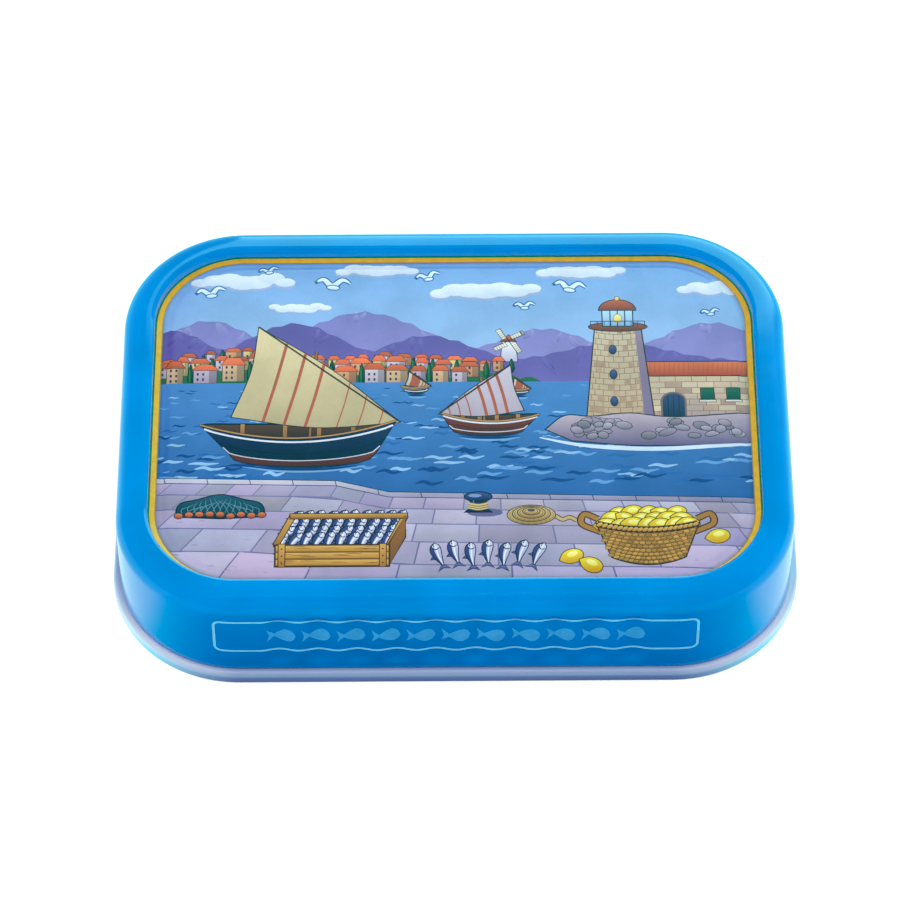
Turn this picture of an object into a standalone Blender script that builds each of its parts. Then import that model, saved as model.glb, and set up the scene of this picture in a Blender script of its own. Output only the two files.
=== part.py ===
"""Shut oblong fish tin: a drawn, printed body that stands on the double seam of its easy-open end.

Metres, +Z up. The origin is on the surface that the tin stands on, under its middle. +X runs along
the tin's length, and the front wall faces -Y. The body shows its printed panel, sunk inside a rounded
rim, on top. The seam and the opening end are at the bottom, with the pull ring out of sight.

The body and the end are each one section carried round the same rounded rectangle. A section is a
list of (inset, height, corner radius) points. Inset is measured inwards from the body wall, so a
negative inset stands outside the wall, as the seam does.
"""

import math

import bmesh
import bpy
from mathutils import Vector

MM = 0.001

# Overall size: the common 105 by 76 mm fish tin, measured over its seam
SEAM_LENGTH = 105.0 * MM
SEAM_WIDTH = 76.0 * MM
TIN_HEIGHT = 18.9 * MM

# Double seam
SEAM_HEIGHT = 2.2 * MM
SEAM_LEDGE = 1.1 * MM
SEAM_SHOULDER_RADIUS = 0.75 * MM
SEAM_FOOT_RADIUS = 0.5 * MM
SEAM_FOOT_WIDTH = 0.6 * MM
JOINT_GAP = 0.3 * MM

# Drawn body
BODY_LENGTH = SEAM_LENGTH - 2 * SEAM_LEDGE
BODY_WIDTH = SEAM_WIDTH - 2 * SEAM_LEDGE
CORNER_RADIUS = 18.7 * MM
WALL_TOP_RADIUS = 3.4 * MM
RIM_INSET = 4.9 * MM
RIM_EDGE_RADIUS = 0.7 * MM
RECESS_FOOT_INSET = 5.0 * MM
RECESS_FOOT_RADIUS = 0.35 * MM
PANEL_DROP = 2.05 * MM
STEP_INSET = 7.2 * MM
STEP_RISE = 0.16 * MM

# Upright flutes pressed into the straight walls, fading out towards the seam and the rim
FLUTE_PITCH = 5.9 * MM
FLUTE_DEPTH = 0.42 * MM
FLUTES_ON_LONG_WALL = 10
FLUTES_ON_SHORT_WALL = 5
FLUTE_BOTTOM = 3.0 * MM
FLUTE_FULL_FROM = 5.4 * MM
FLUTE_FULL_TO = 13.6 * MM
FLUTE_TOP = TIN_HEIGHT - WALL_TOP_RADIUS

# Easy-open end: its panel is sunk inside the seam, and two beads stiffen it
CHUCK_WALL_INSET = 0.6 * MM
COUNTERSINK_INSET = 0.9 * MM
COUNTERSINK = 1.7 * MM
END_BEAD_INSETS = (4.5 * MM, 8.5 * MM)
END_BEAD_WIDTH = 1.8 * MM
END_BEAD_RISE = 0.3 * MM

# Pull ring, flat under the end panel, with its solid nose towards the tin's right end
RING_LENGTH = 23.0 * MM
RING_WIDTH = 15.5 * MM
RING_BAND = 2.6 * MM
RING_THICKNESS = 0.8 * MM
RING_NOSE_LENGTH = 7.0 * MM
RING_CENTRE_X = 32.0 * MM
RIVET_RADIUS = 2.0 * MM
RIVET_DROP = 0.3 * MM

# Smoothness
CORNER_STEPS = 12
FLUTE_STEPS = 6
ARC_STEPS = 4
RING_STEPS = 40
RIVET_STEPS = 16


def smooth_step(value, low, high):
    """0 below low, 1 above high, and a soft S between them."""
    share = min(1.0, max(0.0, (value - low) / (high - low)))
    return share * share * (3.0 - 2.0 * share)


def flute_strength(height):
    """Share of the full flute depth at a height."""
    rising = smooth_step(height, FLUTE_BOTTOM, FLUTE_FULL_FROM)
    return rising * (1.0 - smooth_step(height, FLUTE_FULL_TO, FLUTE_TOP))


def straight_run(half_length, flutes):
    """(position, share of a flute's depth) along one straight wall, from its start to its end."""
    half_fluted = flutes * FLUTE_PITCH / 2.0
    run = [(-half_length, 0.0)]
    for step in range(flutes * FLUTE_STEPS + 1):
        share = 0.5 - 0.5 * math.cos(2.0 * math.pi * step / FLUTE_STEPS)
        run.append((-half_fluted + step * FLUTE_PITCH / FLUTE_STEPS, share))
    run.append((half_length, 0.0))
    return run


def wall_outline():
    """Points round the body wall, each with its outward direction and its share of a flute."""
    half_x = BODY_LENGTH / 2.0 - CORNER_RADIUS
    half_y = BODY_WIDTH / 2.0 - CORNER_RADIUS
    sides = (
        (Vector((0, -1)), half_x, half_y, FLUTES_ON_LONG_WALL),
        (Vector((1, 0)), half_y, half_x, FLUTES_ON_SHORT_WALL),
        (Vector((0, 1)), half_x, half_y, FLUTES_ON_LONG_WALL),
        (Vector((-1, 0)), half_y, half_x, FLUTES_ON_SHORT_WALL),
    )
    outline = []
    for outward, half_length, half_depth, flutes in sides:
        along = Vector((-outward.y, outward.x))
        for position, share in straight_run(half_length, flutes):
            point = along * position + outward * (half_depth + CORNER_RADIUS)
            outline.append((point, outward, share))
        centre = along * half_length + outward * half_depth
        for step in range(1, CORNER_STEPS):
            angle = math.pi / 2.0 * step / CORNER_STEPS
            turned = outward * math.cos(angle) + along * math.sin(angle)
            outline.append((centre + turned * CORNER_RADIUS, turned, 0.0))
    return outline


def rounded_section(corners):
    """The path through (inset, height, radius) corners, with an arc at each corner that has a radius."""
    points = []
    for index, (inset, height, radius) in enumerate(corners):
        here = Vector((inset, height))
        if not radius:
            points.append(here)
            continue
        back = (Vector(corners[index - 1][:2]) - here).normalized()
        ahead = (Vector(corners[index + 1][:2]) - here).normalized()
        half_angle = back.angle(ahead) / 2.0
        centre = here + (back + ahead).normalized() * radius / math.sin(half_angle)
        first = here + back * radius / math.tan(half_angle) - centre
        last = here + ahead * radius / math.tan(half_angle) - centre
        turn = -first.angle_signed(last)
        for step in range(ARC_STEPS + 1):
            cosine, sine = math.cos(turn * step / ARC_STEPS), math.sin(turn * step / ARC_STEPS)
            spoke = Vector((first.x * cosine - first.y * sine, first.x * sine + first.y * cosine))
            points.append(centre + spoke)
    return points


def body_section():
    """From the body's foot, up its wall, over the rim and down to the printed panel."""
    foot = SEAM_HEIGHT + JOINT_GAP
    panel = TIN_HEIGHT - PANEL_DROP
    return rounded_section([
        (0.0, foot, 0.0),
        (0.0, FLUTE_BOTTOM, 0.0),
        (0.0, (FLUTE_BOTTOM + FLUTE_FULL_FROM) / 2.0, 0.0),
        (0.0, FLUTE_FULL_FROM, 0.0),
        (0.0, FLUTE_FULL_TO, 0.0),
        (0.0, (FLUTE_FULL_TO + FLUTE_TOP) / 2.0, 0.0),
        (0.0, TIN_HEIGHT, WALL_TOP_RADIUS),
        (RIM_INSET, TIN_HEIGHT, RIM_EDGE_RADIUS),
        (RECESS_FOOT_INSET, panel, RECESS_FOOT_RADIUS),
        (STEP_INSET, panel, 0.0),
        (STEP_INSET + STEP_RISE, panel + STEP_RISE, 0.0),
    ])


def end_section():
    """From the end's top, out over the seam, round its foot, up the countersink and across the beads."""
    foot_in = SEAM_FOOT_RADIUS + SEAM_FOOT_WIDTH - SEAM_LEDGE
    corners = [
        (SEAM_LEDGE, SEAM_HEIGHT, 0.0),
        (-SEAM_LEDGE, SEAM_HEIGHT, SEAM_SHOULDER_RADIUS),
        (-SEAM_LEDGE, 0.0, SEAM_FOOT_RADIUS),
        (foot_in, 0.0, 0.0),
        (CHUCK_WALL_INSET, SEAM_FOOT_RADIUS, 0.0),
        (COUNTERSINK_INSET, COUNTERSINK, 0.0),
    ]
    for inset in END_BEAD_INSETS:
        corners.append((inset, COUNTERSINK, 0.0))
        corners.append((inset + END_BEAD_WIDTH / 2.0, COUNTERSINK + END_BEAD_RISE, 0.0))
        corners.append((inset + END_BEAD_WIDTH, COUNTERSINK, 0.0))
    return rounded_section(corners)


def carry_round(mesh, section, flute_depth=0.0):
    """Carry a section round the wall outline as rings of quads, and close both ends with a flat face."""
    outline = wall_outline()
    rings = []
    for inset, height in section:
        depth = flute_depth * flute_strength(height) if inset <= 0.0 else 0.0
        ring = []
        for point, outward, share in outline:
            place = point - outward * (inset + depth * share)
            ring.append(mesh.verts.new((place.x, place.y, height)))
        rings.append(ring)
    for lower, upper in zip(rings, rings[1:]):
        add_quads(mesh, lower, upper)
    mesh.faces.new(reversed(rings[0]))
    mesh.faces.new(rings[-1])


def add_quads(mesh, lower, upper):
    """Join two closed loops of the same number of vertices."""
    for index in range(len(lower)):
        after = (index + 1) % len(lower)
        mesh.faces.new((lower[index], lower[after], upper[after], upper[index]))


def new_object(name, mesh, colour, roughness, metallic):
    """Link a finished bmesh as a named object, shaded smooth, with its own material."""
    bmesh.ops.recalc_face_normals(mesh, faces=mesh.faces)
    data = bpy.data.meshes.new(name)
    mesh.to_mesh(data)
    mesh.free()
    data.shade_smooth()
    data.set_sharp_from_angle(angle=math.radians(40.0))
    material = bpy.data.materials.new(name + "_finish")
    material.use_nodes = True
    shader = material.node_tree.nodes["Principled BSDF"]
    shader.inputs["Base Color"].default_value = (*colour, 1.0)
    shader.inputs["Roughness"].default_value = roughness
    shader.inputs["Metallic"].default_value = metallic
    data.materials.append(material)
    thing = bpy.data.objects.new(name, data)
    bpy.context.scene.collection.objects.link(thing)
    return thing


def make_body():
    mesh = bmesh.new()
    carry_round(mesh, body_section(), FLUTE_DEPTH)
    return new_object("tin_body", mesh, (0.0, 0.27, 0.74), 0.16, 0.0)


def make_end():
    mesh = bmesh.new()
    carry_round(mesh, end_section())
    return new_object("seamed_end", mesh, (0.72, 0.74, 0.8), 0.28, 0.9)


def ellipse(centre_x, half_length, half_width):
    """(x, y) points round a level ellipse on the tin's middle line."""
    points = []
    for step in range(RING_STEPS):
        angle = 2.0 * math.pi * step / RING_STEPS
        points.append((centre_x + half_length * math.cos(angle), half_width * math.sin(angle)))
    return points


def make_rivet(centre_x, height):
    """A tapered stud that marks the rivet. The pull ring takes it in by a union, so it isn't shown."""
    mesh = bmesh.new()
    bmesh.ops.create_cone(
        mesh,
        cap_ends=True,
        segments=RIVET_STEPS,
        radius1=RIVET_RADIUS * 0.7,
        radius2=RIVET_RADIUS,
        depth=RIVET_DROP * 2.0,
    )
    rivet = new_object("rivet_shape", mesh, (0.72, 0.74, 0.8), 0.25, 0.9)
    rivet.location = (centre_x, 0.0, height)
    rivet.hide_render = True
    rivet.display_type = "WIRE"
    return rivet


def make_pull_ring():
    """The ring is an ellipse with an elliptical finger hole set off centre, which leaves the solid nose."""
    high = COUNTERSINK - JOINT_GAP
    low = high - RING_THICKNESS
    hole_half_length = (RING_LENGTH - RING_BAND - RING_NOSE_LENGTH) / 2.0
    hole_x = RING_CENTRE_X + (RING_BAND - RING_NOSE_LENGTH) / 2.0
    outer = ellipse(RING_CENTRE_X, RING_LENGTH / 2.0, RING_WIDTH / 2.0)
    inner = ellipse(hole_x, hole_half_length, RING_WIDTH / 2.0 - RING_BAND)
    mesh = bmesh.new()
    loops = []
    for points, height in ((outer, low), (outer, high), (inner, high), (inner, low)):
        loops.append([mesh.verts.new((x, y, height)) for x, y in points])
    for near, far in zip(loops, loops[1:] + loops[:1]):
        add_quads(mesh, near, far)
    ring = new_object("pull_ring", mesh, (0.72, 0.74, 0.8), 0.25, 0.9)
    join = ring.modifiers.new("rivet", "BOOLEAN")
    join.operation = "UNION"
    join.object = make_rivet(RING_CENTRE_X + (RING_LENGTH - RING_NOSE_LENGTH) / 2.0, low)
    return ring


def main():
    for thing in list(bpy.data.objects):
        bpy.data.objects.remove(thing)
    make_body()
    make_end()
    make_pull_ring()


main()
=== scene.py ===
"""Dress a shut oblong fish tin: blue lacquer, a printed harbour picture, a silver seam and a pull ring.

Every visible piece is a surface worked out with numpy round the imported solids. A section is a list of
(inset, height) points that is carried round the wall's rounded rectangle. Inset is measured inwards
from the wall, so the seam, which stands outside it, has a negative inset.

The printed picture is a painter's list of flat shapes in millimetres. The plane is divided along
every outline, and each triangle takes the colour of the topmost shape that covers it, so the print
has crisp edges and the panel stays one closed plate.
"""

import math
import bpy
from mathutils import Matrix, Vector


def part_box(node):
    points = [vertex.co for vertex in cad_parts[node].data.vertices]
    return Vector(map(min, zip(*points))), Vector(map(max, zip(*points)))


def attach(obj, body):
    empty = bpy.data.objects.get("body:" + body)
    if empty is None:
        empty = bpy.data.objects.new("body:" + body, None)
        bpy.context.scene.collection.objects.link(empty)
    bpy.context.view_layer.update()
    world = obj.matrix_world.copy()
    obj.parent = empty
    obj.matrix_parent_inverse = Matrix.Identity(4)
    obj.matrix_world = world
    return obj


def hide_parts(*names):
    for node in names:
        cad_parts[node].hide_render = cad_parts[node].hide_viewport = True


bl_info = {
    "name": "Oblong Fish Tin",
    "version": (1, 0, 0),
    "blender": (4, 5, 0),
    "location": "View3D > Sidebar > Fish Tin",
    "description": "Builds a fish tin's lacquered shell, printed picture, seamed end, pull ring and studio",
    "category": "Object",
}

import bpy
import numpy as np
from mathutils import Matrix, Vector
from mathutils.geometry import delaunay_2d_cdt

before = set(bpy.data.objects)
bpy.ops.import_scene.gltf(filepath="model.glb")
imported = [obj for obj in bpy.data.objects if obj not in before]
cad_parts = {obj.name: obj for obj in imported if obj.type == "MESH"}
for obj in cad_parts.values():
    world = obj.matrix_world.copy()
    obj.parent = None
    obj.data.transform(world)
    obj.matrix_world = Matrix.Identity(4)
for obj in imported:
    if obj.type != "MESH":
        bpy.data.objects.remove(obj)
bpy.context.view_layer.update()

MM = 0.001

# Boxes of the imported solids, which every size below starts from
BODY_LOW, BODY_HIGH = (np.array(corner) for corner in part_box("tin_body"))
END_HIGH = np.array(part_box("seamed_end")[1])
RING_LOW, RING_HIGH = (np.array(corner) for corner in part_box("pull_ring"))
WALL_HALF = (BODY_HIGH[:2] - BODY_LOW[:2]) / 2.0
SEAM_LEDGE = float(END_HIGH[0] - BODY_HIGH[0])
SEAM_HEIGHT = float(END_HIGH[2])
TIN_TOP = float(BODY_HIGH[2])

# The shell: its foot just over the seam, its recess, and how finely its section is divided
WALL_FOOT = SEAM_HEIGHT + 0.25 * MM
FOOT_LIP = 0.9 * MM
FOOT_RADIUS = 0.15 * MM
RECESS_FOOT = 5.0 * MM
RECESS_FOOT_RADIUS = 0.06 * MM
PANEL_EDGE = 7.0 * MM
SECTION_SPACING = 0.3 * MM
STRAIGHT_STEPS = 150
CORNER_STEPS = 40

# Heights between which the flutes grow to their full depth and fade again
FLUTE_RISE = (3.0 * MM, 5.4 * MM)
FLUTE_FADE = (13.6 * MM, 15.5 * MM)

# Lifts that keep printed layers off what they are printed on
PRINT_LIFT = 0.012 * MM
SIDE_LIFT = 0.018 * MM
PANEL_LIFT = 0.05 * MM

# The seam and the end: insets from the wall and heights over the ground
SEAM_TOP_INNER = 1.1 * MM
SEAM_SHOULDER_RADIUS = 1.0 * MM
SEAM_FOOT_RADIUS = 0.5 * MM
END_SUNK = 1.7 * MM
SCORE_INSET = 2.3 * MM
SCORE_HALF_WIDTH = 0.08 * MM
SCORE_DEPTH = 0.12 * MM
BEAD_INSETS = (4.5 * MM, 8.5 * MM)
BEAD_WIDTH = 1.8 * MM
BEAD_DEPTH = 0.3 * MM

# The pull ring: its band, the solid nose at the rivet, and the rivet's head
RING_BAND = 2.6 * MM
RING_NOSE = 7.0 * MM
RING_THICKNESS = 0.8 * MM
RIVET_RADIUS = 2.0 * MM
RIVET_DROP = 0.3 * MM

# Frame printed on the long walls, in millimetres along the wall and up it
FRAME_HALF_LENGTH = 36.5
FRAME_LOW = 6.75
FRAME_HIGH = 14.35
FRAME_MIDDLE = (FRAME_LOW + FRAME_HIGH) / 2.0
FRAME_CORNER = 1.25
FRAME_LINE = 0.42
GUIDE_SPACING = 0.36


def length_setting(name, description, millimetres):
    """A length that can be changed in the panel."""
    size = millimetres * MM
    return bpy.props.FloatProperty(name=name, description=description, default=size, unit="LENGTH")


def angle_setting(name, description, degrees):
    """An angle that can be changed in the panel."""
    angle = math.radians(degrees)
    return bpy.props.FloatProperty(name=name, description=description, default=angle, subtype="ANGLE")


def colour_setting(name, description, *colour):
    """A linear colour that can be changed in the panel."""
    return bpy.props.FloatVectorProperty(name=name, description=description, default=colour, subtype="COLOR")


class TinShape(bpy.types.PropertyGroup):
    """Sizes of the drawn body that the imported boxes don't give."""

    corner_radius: length_setting("Corner Radius", "Radius of the body's four corners seen from above", 18.7)
    wall_top_radius: length_setting("Wall Top Radius", "Rounding where the wall turns into the rim", 3.4)
    rim_inset: length_setting("Rim Width", "From the wall to the rim's inner edge", 4.9)
    rim_edge_radius: length_setting("Rim Edge Radius", "Rounding of the rim's inner edge", 0.6)
    panel_drop: length_setting("Panel Drop", "How far the printed panel is sunk below the rim", 2.05)
    step_inset: length_setting("Step Inset", "From the wall to the low step round the picture", 7.2)
    step_rise: length_setting("Step Rise", "Height of the low step round the picture", 0.16)
    flute_pitch: length_setting("Flute Pitch", "Distance from one upright flute to the next", 5.9)
    flute_depth: length_setting("Flute Depth", "How far the flutes are pressed into the wall", 0.42)
    long_wall_flutes: bpy.props.IntProperty(
        name="Long Wall Flutes", description="Flutes in the front and the back wall", default=10,
    )
    short_wall_flutes: bpy.props.IntProperty(
        name="Short Wall Flutes", description="Flutes in the left and the right wall", default=5,
    )


class TinColours(bpy.types.PropertyGroup):
    """Colours of the tin's finishes."""

    lacquer: colour_setting("Lacquer", "Sky-blue lacquer on the rim and the walls", 0.0, 0.268, 0.69)
    gold: colour_setting("Gold Line", "Printed line round the picture", 0.88, 0.45, 0.02)
    overprint: colour_setting("Green Line", "Where the gold ink runs under the blue one", 0.0, 0.20, 0.085)
    keyline: colour_setting("Brown Line", "Thin line between the gold and the picture", 0.42, 0.25, 0.06)
    side_print: colour_setting("Side Print", "Pale blue frame on the long walls", 0.40, 0.80, 1.0)
    side_tint: colour_setting("Side Tint", "Thinner blue of the figures inside the frame", 0.13, 0.48, 0.84)
    seam_metal: colour_setting("Seam Metal", "Bare metal of the seam and the end", 0.52, 0.59, 0.80)
    # Painted highlight: the seam's corners are painted in this paler colour
    corner_highlight_metal: colour_setting("Bent Metal", "Paler metal of the seam's corners", 0.90, 0.90, 0.98)
    ring_metal: colour_setting("Ring Metal", "Bare metal of the pull ring", 0.74, 0.76, 0.80)


class TinStudio(bpy.types.PropertyGroup):
    """Camera and light."""

    elevation: angle_setting("Elevation", "Height of the camera above the horizon", 52.5)
    azimuth: angle_setting("Azimuth", "Turn of the camera round the tin, 0 in front of it", -0.12)
    roll: angle_setting("Roll", "Turn of the picture about the line of sight", -0.25)
    distance: length_setting("Distance", "From the camera to the middle of the tin's foot", 737.3)
    focal_length: bpy.props.FloatProperty(
        name="Focal Length", description="Of a 36 mm wide sensor, in millimetres", default=188.9,
    )
    key_power: bpy.props.FloatProperty(
        name="Key Light", description="Power of the large soft light overhead, in watts", default=4.7,
    )


# Curves and outlines


def smooth_step(value, low, high):
    """0 below low, 1 above high, and a cubic S between them."""
    share = np.clip((value - low) / (high - low), 0.0, 1.0)
    return share * share * (3.0 - 2.0 * share)


def flute_depth_at(along, height, flutes):
    """Depth of the flutes: a raised cosine along the wall, faded by a cubic S at both ends of its height."""
    shape = bpy.context.scene.tin_shape
    half = flutes * shape.flute_pitch / 2.0
    wave = 0.5 - 0.5 * np.cos(2.0 * np.pi * (along + half) / shape.flute_pitch)
    strength = smooth_step(height, *FLUTE_RISE) * (1.0 - smooth_step(height, *FLUTE_FADE))
    return shape.flute_depth * np.where(np.abs(along) < half, wave, 0.0) * strength


def wall_outline():
    """Points, outward directions, place along the wall and flutes of that wall, all round the body.

    A straight wall is a line, and a corner is a quarter circle about its own centre. Corners have no
    flutes, so their place lies far past the end of the wall's own.
    """
    shape = bpy.context.scene.tin_shape
    radius = shape.corner_radius
    half_x, half_y = WALL_HALF - radius
    sides = (
        ((0, -1), half_x, half_y, shape.long_wall_flutes),
        ((1, 0), half_y, half_x, shape.short_wall_flutes),
        ((0, 1), half_x, half_y, shape.long_wall_flutes),
        ((-1, 0), half_y, half_x, shape.short_wall_flutes),
    )
    points, outwards, alongs, flutes = [], [], [], []
    for direction, half_length, half_depth, count in sides:
        outward = np.array(direction, float)
        along = np.array((-outward[1], outward[0]))
        place = np.linspace(-half_length, half_length, STRAIGHT_STEPS)
        angle = np.linspace(0.0, np.pi / 2.0, CORNER_STEPS + 1)[1:-1, None]
        turning = outward * np.cos(angle) + along * np.sin(angle)
        points.append(place[:, None] * along + outward * (half_depth + radius))
        points.append(along * half_length + outward * half_depth + turning * radius)
        outwards += [np.tile(outward, (STRAIGHT_STEPS, 1)), turning]
        alongs += [place, np.full(len(angle), half_length * 10.0)]
        flutes.append(np.full(STRAIGHT_STEPS + len(angle), count))
    return np.vstack(points), np.vstack(outwards), np.concatenate(alongs), np.concatenate(flutes)


def rounded_section(corners, arc_steps=12):
    """(inset, height) points through (inset, height, radius) corners, with an arc at each rounded one.

    The arc touches both neighbouring lines, so its centre lies on the bisector, radius / sin(half the
    corner's angle) away, and its spokes turn evenly from one touching point to the other.
    """
    corners = np.array(corners, float)
    points = []
    for before, here, after in zip(np.roll(corners, 1, 0), corners, np.roll(corners, -1, 0)):
        radius = here[2]
        if radius == 0.0:
            points.append(here[None, :2])
            continue
        back = (before - here)[:2] / np.hypot(*(before - here)[:2])
        ahead = (after - here)[:2] / np.hypot(*(after - here)[:2])
        half = math.acos(float(np.clip(back @ ahead, -1.0, 1.0))) / 2.0
        bisector = (back + ahead) / np.hypot(*(back + ahead))
        centre = here[:2] + bisector * radius / math.sin(half)
        first = here[:2] + back * radius / math.tan(half) - centre
        last = here[:2] + ahead * radius / math.tan(half) - centre
        turn = math.atan2(first[0] * last[1] - first[1] * last[0], float(first @ last))
        angle = np.linspace(0.0, turn, arc_steps + 1)[:, None]
        across = np.array((-first[1], first[0]))
        points.append(centre + first * np.cos(angle) + across * np.sin(angle))
    return np.vstack(points)


def densify(section, spacing):
    """The same section with points added so that no stretch is longer than the spacing."""
    stretches = []
    for start, stop in zip(section, section[1:]):
        steps = max(1, int(np.ceil(np.hypot(*(stop - start)) / spacing)))
        stretches.append(start + (stop - start) * np.arange(steps)[:, None] / steps)
    return np.vstack(stretches + [section[-1:]])


def raised(flat, heights):
    """Grid of points in space: a grid of places on the ground, with a height for each of its rows."""
    return np.concatenate([flat, np.broadcast_to(heights[:, None, None], flat.shape[:2] + (1,))], axis=2)


def carried_round(section, fluted=False):
    """Grid of points: point = outline - outward x (inset + flute depth), at each of the section's heights."""
    points, outward, along, flutes = wall_outline()
    inset, height = section[:, 0, None], section[:, 1, None]
    depth = np.zeros((len(section), len(points)))
    if fluted:
        depth = flute_depth_at(along[None, :], height, flutes[None, :]) * (inset < 0.01 * MM)
    return raised(points[None] - outward[None] * (inset + depth)[:, :, None], section[:, 1])


def wall_place(along, height, lift, flutes):
    """Points on the front wall from places along it: past the straight run they turn round the corner.

    The overshoot beyond the straight run, divided by the corner's radius, is the angle turned.
    """
    radius = bpy.context.scene.tin_shape.corner_radius
    half_x, half_y = WALL_HALF - radius
    angle = np.maximum(np.abs(along) - half_x, 0.0) / radius * np.sign(along)
    reach = radius + lift - flute_depth_at(along, height, flutes)
    x = np.clip(along, -half_x, half_x) + reach * np.sin(angle)
    return np.c_[x, -half_y - reach * np.cos(angle), height]


def past_corner(points):
    """How far points lie beyond the straight run of the walls, along x and y."""
    return np.abs(points[:, :2]) - (WALL_HALF - bpy.context.scene.tin_shape.corner_radius)


def wall_inset(points):
    """Distance inwards from the wall: minus the signed distance to a rounded rectangle."""
    beyond = past_corner(points)
    outside = np.hypot(*np.maximum(beyond, 0.0).T)
    return bpy.context.scene.tin_shape.corner_radius - outside - np.minimum(beyond.max(axis=1), 0.0)


def corner_share(points):
    """How far points are into a corner: 0 along the straight walls, 1 in the middle of the bend."""
    beyond = past_corner(points)
    turn = np.arctan2(np.maximum(beyond[:, 1], 0.0), np.maximum(beyond[:, 0], 1e-9))
    return np.sin(2.0 * turn) * (beyond.min(axis=1) > 0.0)


# Meshes and objects


def new_piece(name, vertices, faces, finish, node=None):
    """Make one closed mesh piece that rides on the tin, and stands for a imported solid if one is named."""
    mesh = bpy.data.meshes.new(name)
    mesh.from_pydata(np.asarray(vertices).tolist(), [], faces)
    mesh.shade_smooth()
    mesh.set_sharp_from_angle(angle=math.radians(35.0))
    mesh.materials.append(finish)
    piece = bpy.data.objects.new(name, mesh)
    bpy.context.scene.collection.objects.link(piece)
    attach(piece, "root")
    if node:
        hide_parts(node)
    return piece


def mark_points(piece, name, values):
    """Store a value at each of the piece's points, for its finish to read."""
    piece.data.attributes.new(name, "FLOAT", "POINT").data.foreach_set("value", values)


def grid_faces(rows, columns, rows_close):
    """Quads of a grid whose columns close on themselves, and whose rows do too if rows_close is set."""
    count = rows if rows_close else rows - 1
    row, column = np.meshgrid(np.arange(count), np.arange(columns), indexing="ij")
    here, ahead = row * columns, (row + 1) % rows * columns
    beside = (column + 1) % columns
    return np.stack((here + column, here + beside, ahead + beside, ahead + column), axis=-1).reshape(-1, 4)


def grid_solid(grid, closed_tube=False, flip=False):
    """Vertices and faces of a grid of rings: a closed tube, or a skin with a flat face at each end."""
    rows, columns = grid.shape[:2]
    faces = grid_faces(rows, columns, closed_tube).tolist()
    if not closed_tube:
        first = np.arange(columns)[::-1]
        last = np.arange(columns) + (rows - 1) * columns
        faces += [first.tolist(), last.tolist()]
    if flip:
        faces = [face[::-1] for face in faces]
    return grid.reshape(-1, 3), faces


# Shader expressions


class Wire:
    """A shader socket that can be calculated with: an expression on wires adds its Math nodes."""

    def __init__(self, graph, socket):
        self.graph = graph
        self.socket = socket

    def math(self, operation, *values):
        """One Math node, with these wires or numbers at its inputs."""
        return self.graph.node("ShaderNodeMath", {"operation": operation}, dict(enumerate(values)))

    def __add__(self, other):
        return self.math("ADD", self, other)

    def __radd__(self, other):
        return self.math("ADD", other, self)

    def __sub__(self, other):
        return self.math("SUBTRACT", self, other)

    def __rsub__(self, other):
        return self.math("SUBTRACT", other, self)

    def __mul__(self, other):
        return self.math("MULTIPLY", self, other)

    def size(self):
        """The value without its sign."""
        return self.math("ABSOLUTE", self)

    def between(self, low, high):
        """0 below low, 1 above high, and a smooth rise between them."""
        return self.graph.node(
            "ShaderNodeMapRange", {"interpolation_type": "SMOOTHSTEP"},
            {"Value": self, "From Min": low, "From Max": high},
        )


class Graph:
    """A node tree that is built by calls and expressions."""

    def __init__(self, tree):
        self.tree = tree

    def feed(self, socket, value):
        """Link a wire to a socket, or set the socket to a constant."""
        if isinstance(value, Wire):
            self.tree.links.new(value.socket, socket)
        elif socket.type == "RGBA":
            socket.default_value = (*value, 1.0)
        else:
            socket.default_value = value

    def node(self, kind, settings=None, inputs=None, output=0):
        """Add a node: its settings first, then the values or wires of its sockets. Returns one output."""
        made = self.tree.nodes.new(kind)
        for key, value in (settings or {}).items():
            setattr(made, key, value)
        for key, value in (inputs or {}).items():
            self.feed(made.inputs[key], value)
        return Wire(self, made.outputs[output])

    def mixed(self, share, first, second):
        """Colour between two colours."""
        return self.node("ShaderNodeMix", {"data_type": "RGBA"}, {0: share, 6: first, 7: second}, output=2)

    def axes(self, vector, names):
        """The named parts of a vector."""
        return [self.node("ShaderNodeSeparateXYZ", inputs={"Vector": vector}, output=name) for name in names]


class Finish(Graph):
    """A material built round one Principled shader, whose constants are set on its own sockets."""

    def __init__(self, name, **constants):
        self.material = bpy.data.materials.new(name)
        self.material.use_nodes = True
        super().__init__(self.material.node_tree)
        self.shader = self.tree.nodes["Principled BSDF"]
        self.wear(**constants)

    def place(self):
        """Place on the piece, in metres."""
        return self.node("ShaderNodeTexCoord", output="Object")

    def stretched(self, x, y, z):
        """Place on the piece, scaled along each axis."""
        return self.node("ShaderNodeMapping", inputs={"Vector": self.place(), "Scale": (x, y, z)})

    def mark(self, name, output="Fac"):
        """What the piece stores under a name."""
        return self.node("ShaderNodeAttribute", {"attribute_name": name}, output=output)

    def noise(self, scale, detail=2.0, vector=None):
        """Cloudy values round 0.5."""
        inputs = {"Scale": scale, "Detail": detail, "Vector": vector or self.place()}
        return self.node("ShaderNodeTexNoise", inputs=inputs)

    def scaled(self, colour, share):
        """Colour made darker or lighter by a wire."""
        return self.node("ShaderNodeVectorMath", {"operation": "SCALE"}, {0: colour, "Scale": share})

    def bump(self, height, strength, distance, below=None):
        """Surface relief from a height wire."""
        inputs = {"Height": height, "Strength": strength, "Distance": distance}
        if below:
            inputs["Normal"] = below
        return self.node("ShaderNodeBump", inputs=inputs)

    def wear(self, **sockets):
        """Feed values and wires into the shader's sockets of these names, and return the material."""
        for socket, value in sockets.items():
            self.feed(self.shader.inputs[socket.replace("_", " ")], value)
        return self.material


def times(colour, share):
    """A colour made darker or lighter."""
    return tuple(share * value for value in colour)


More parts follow.
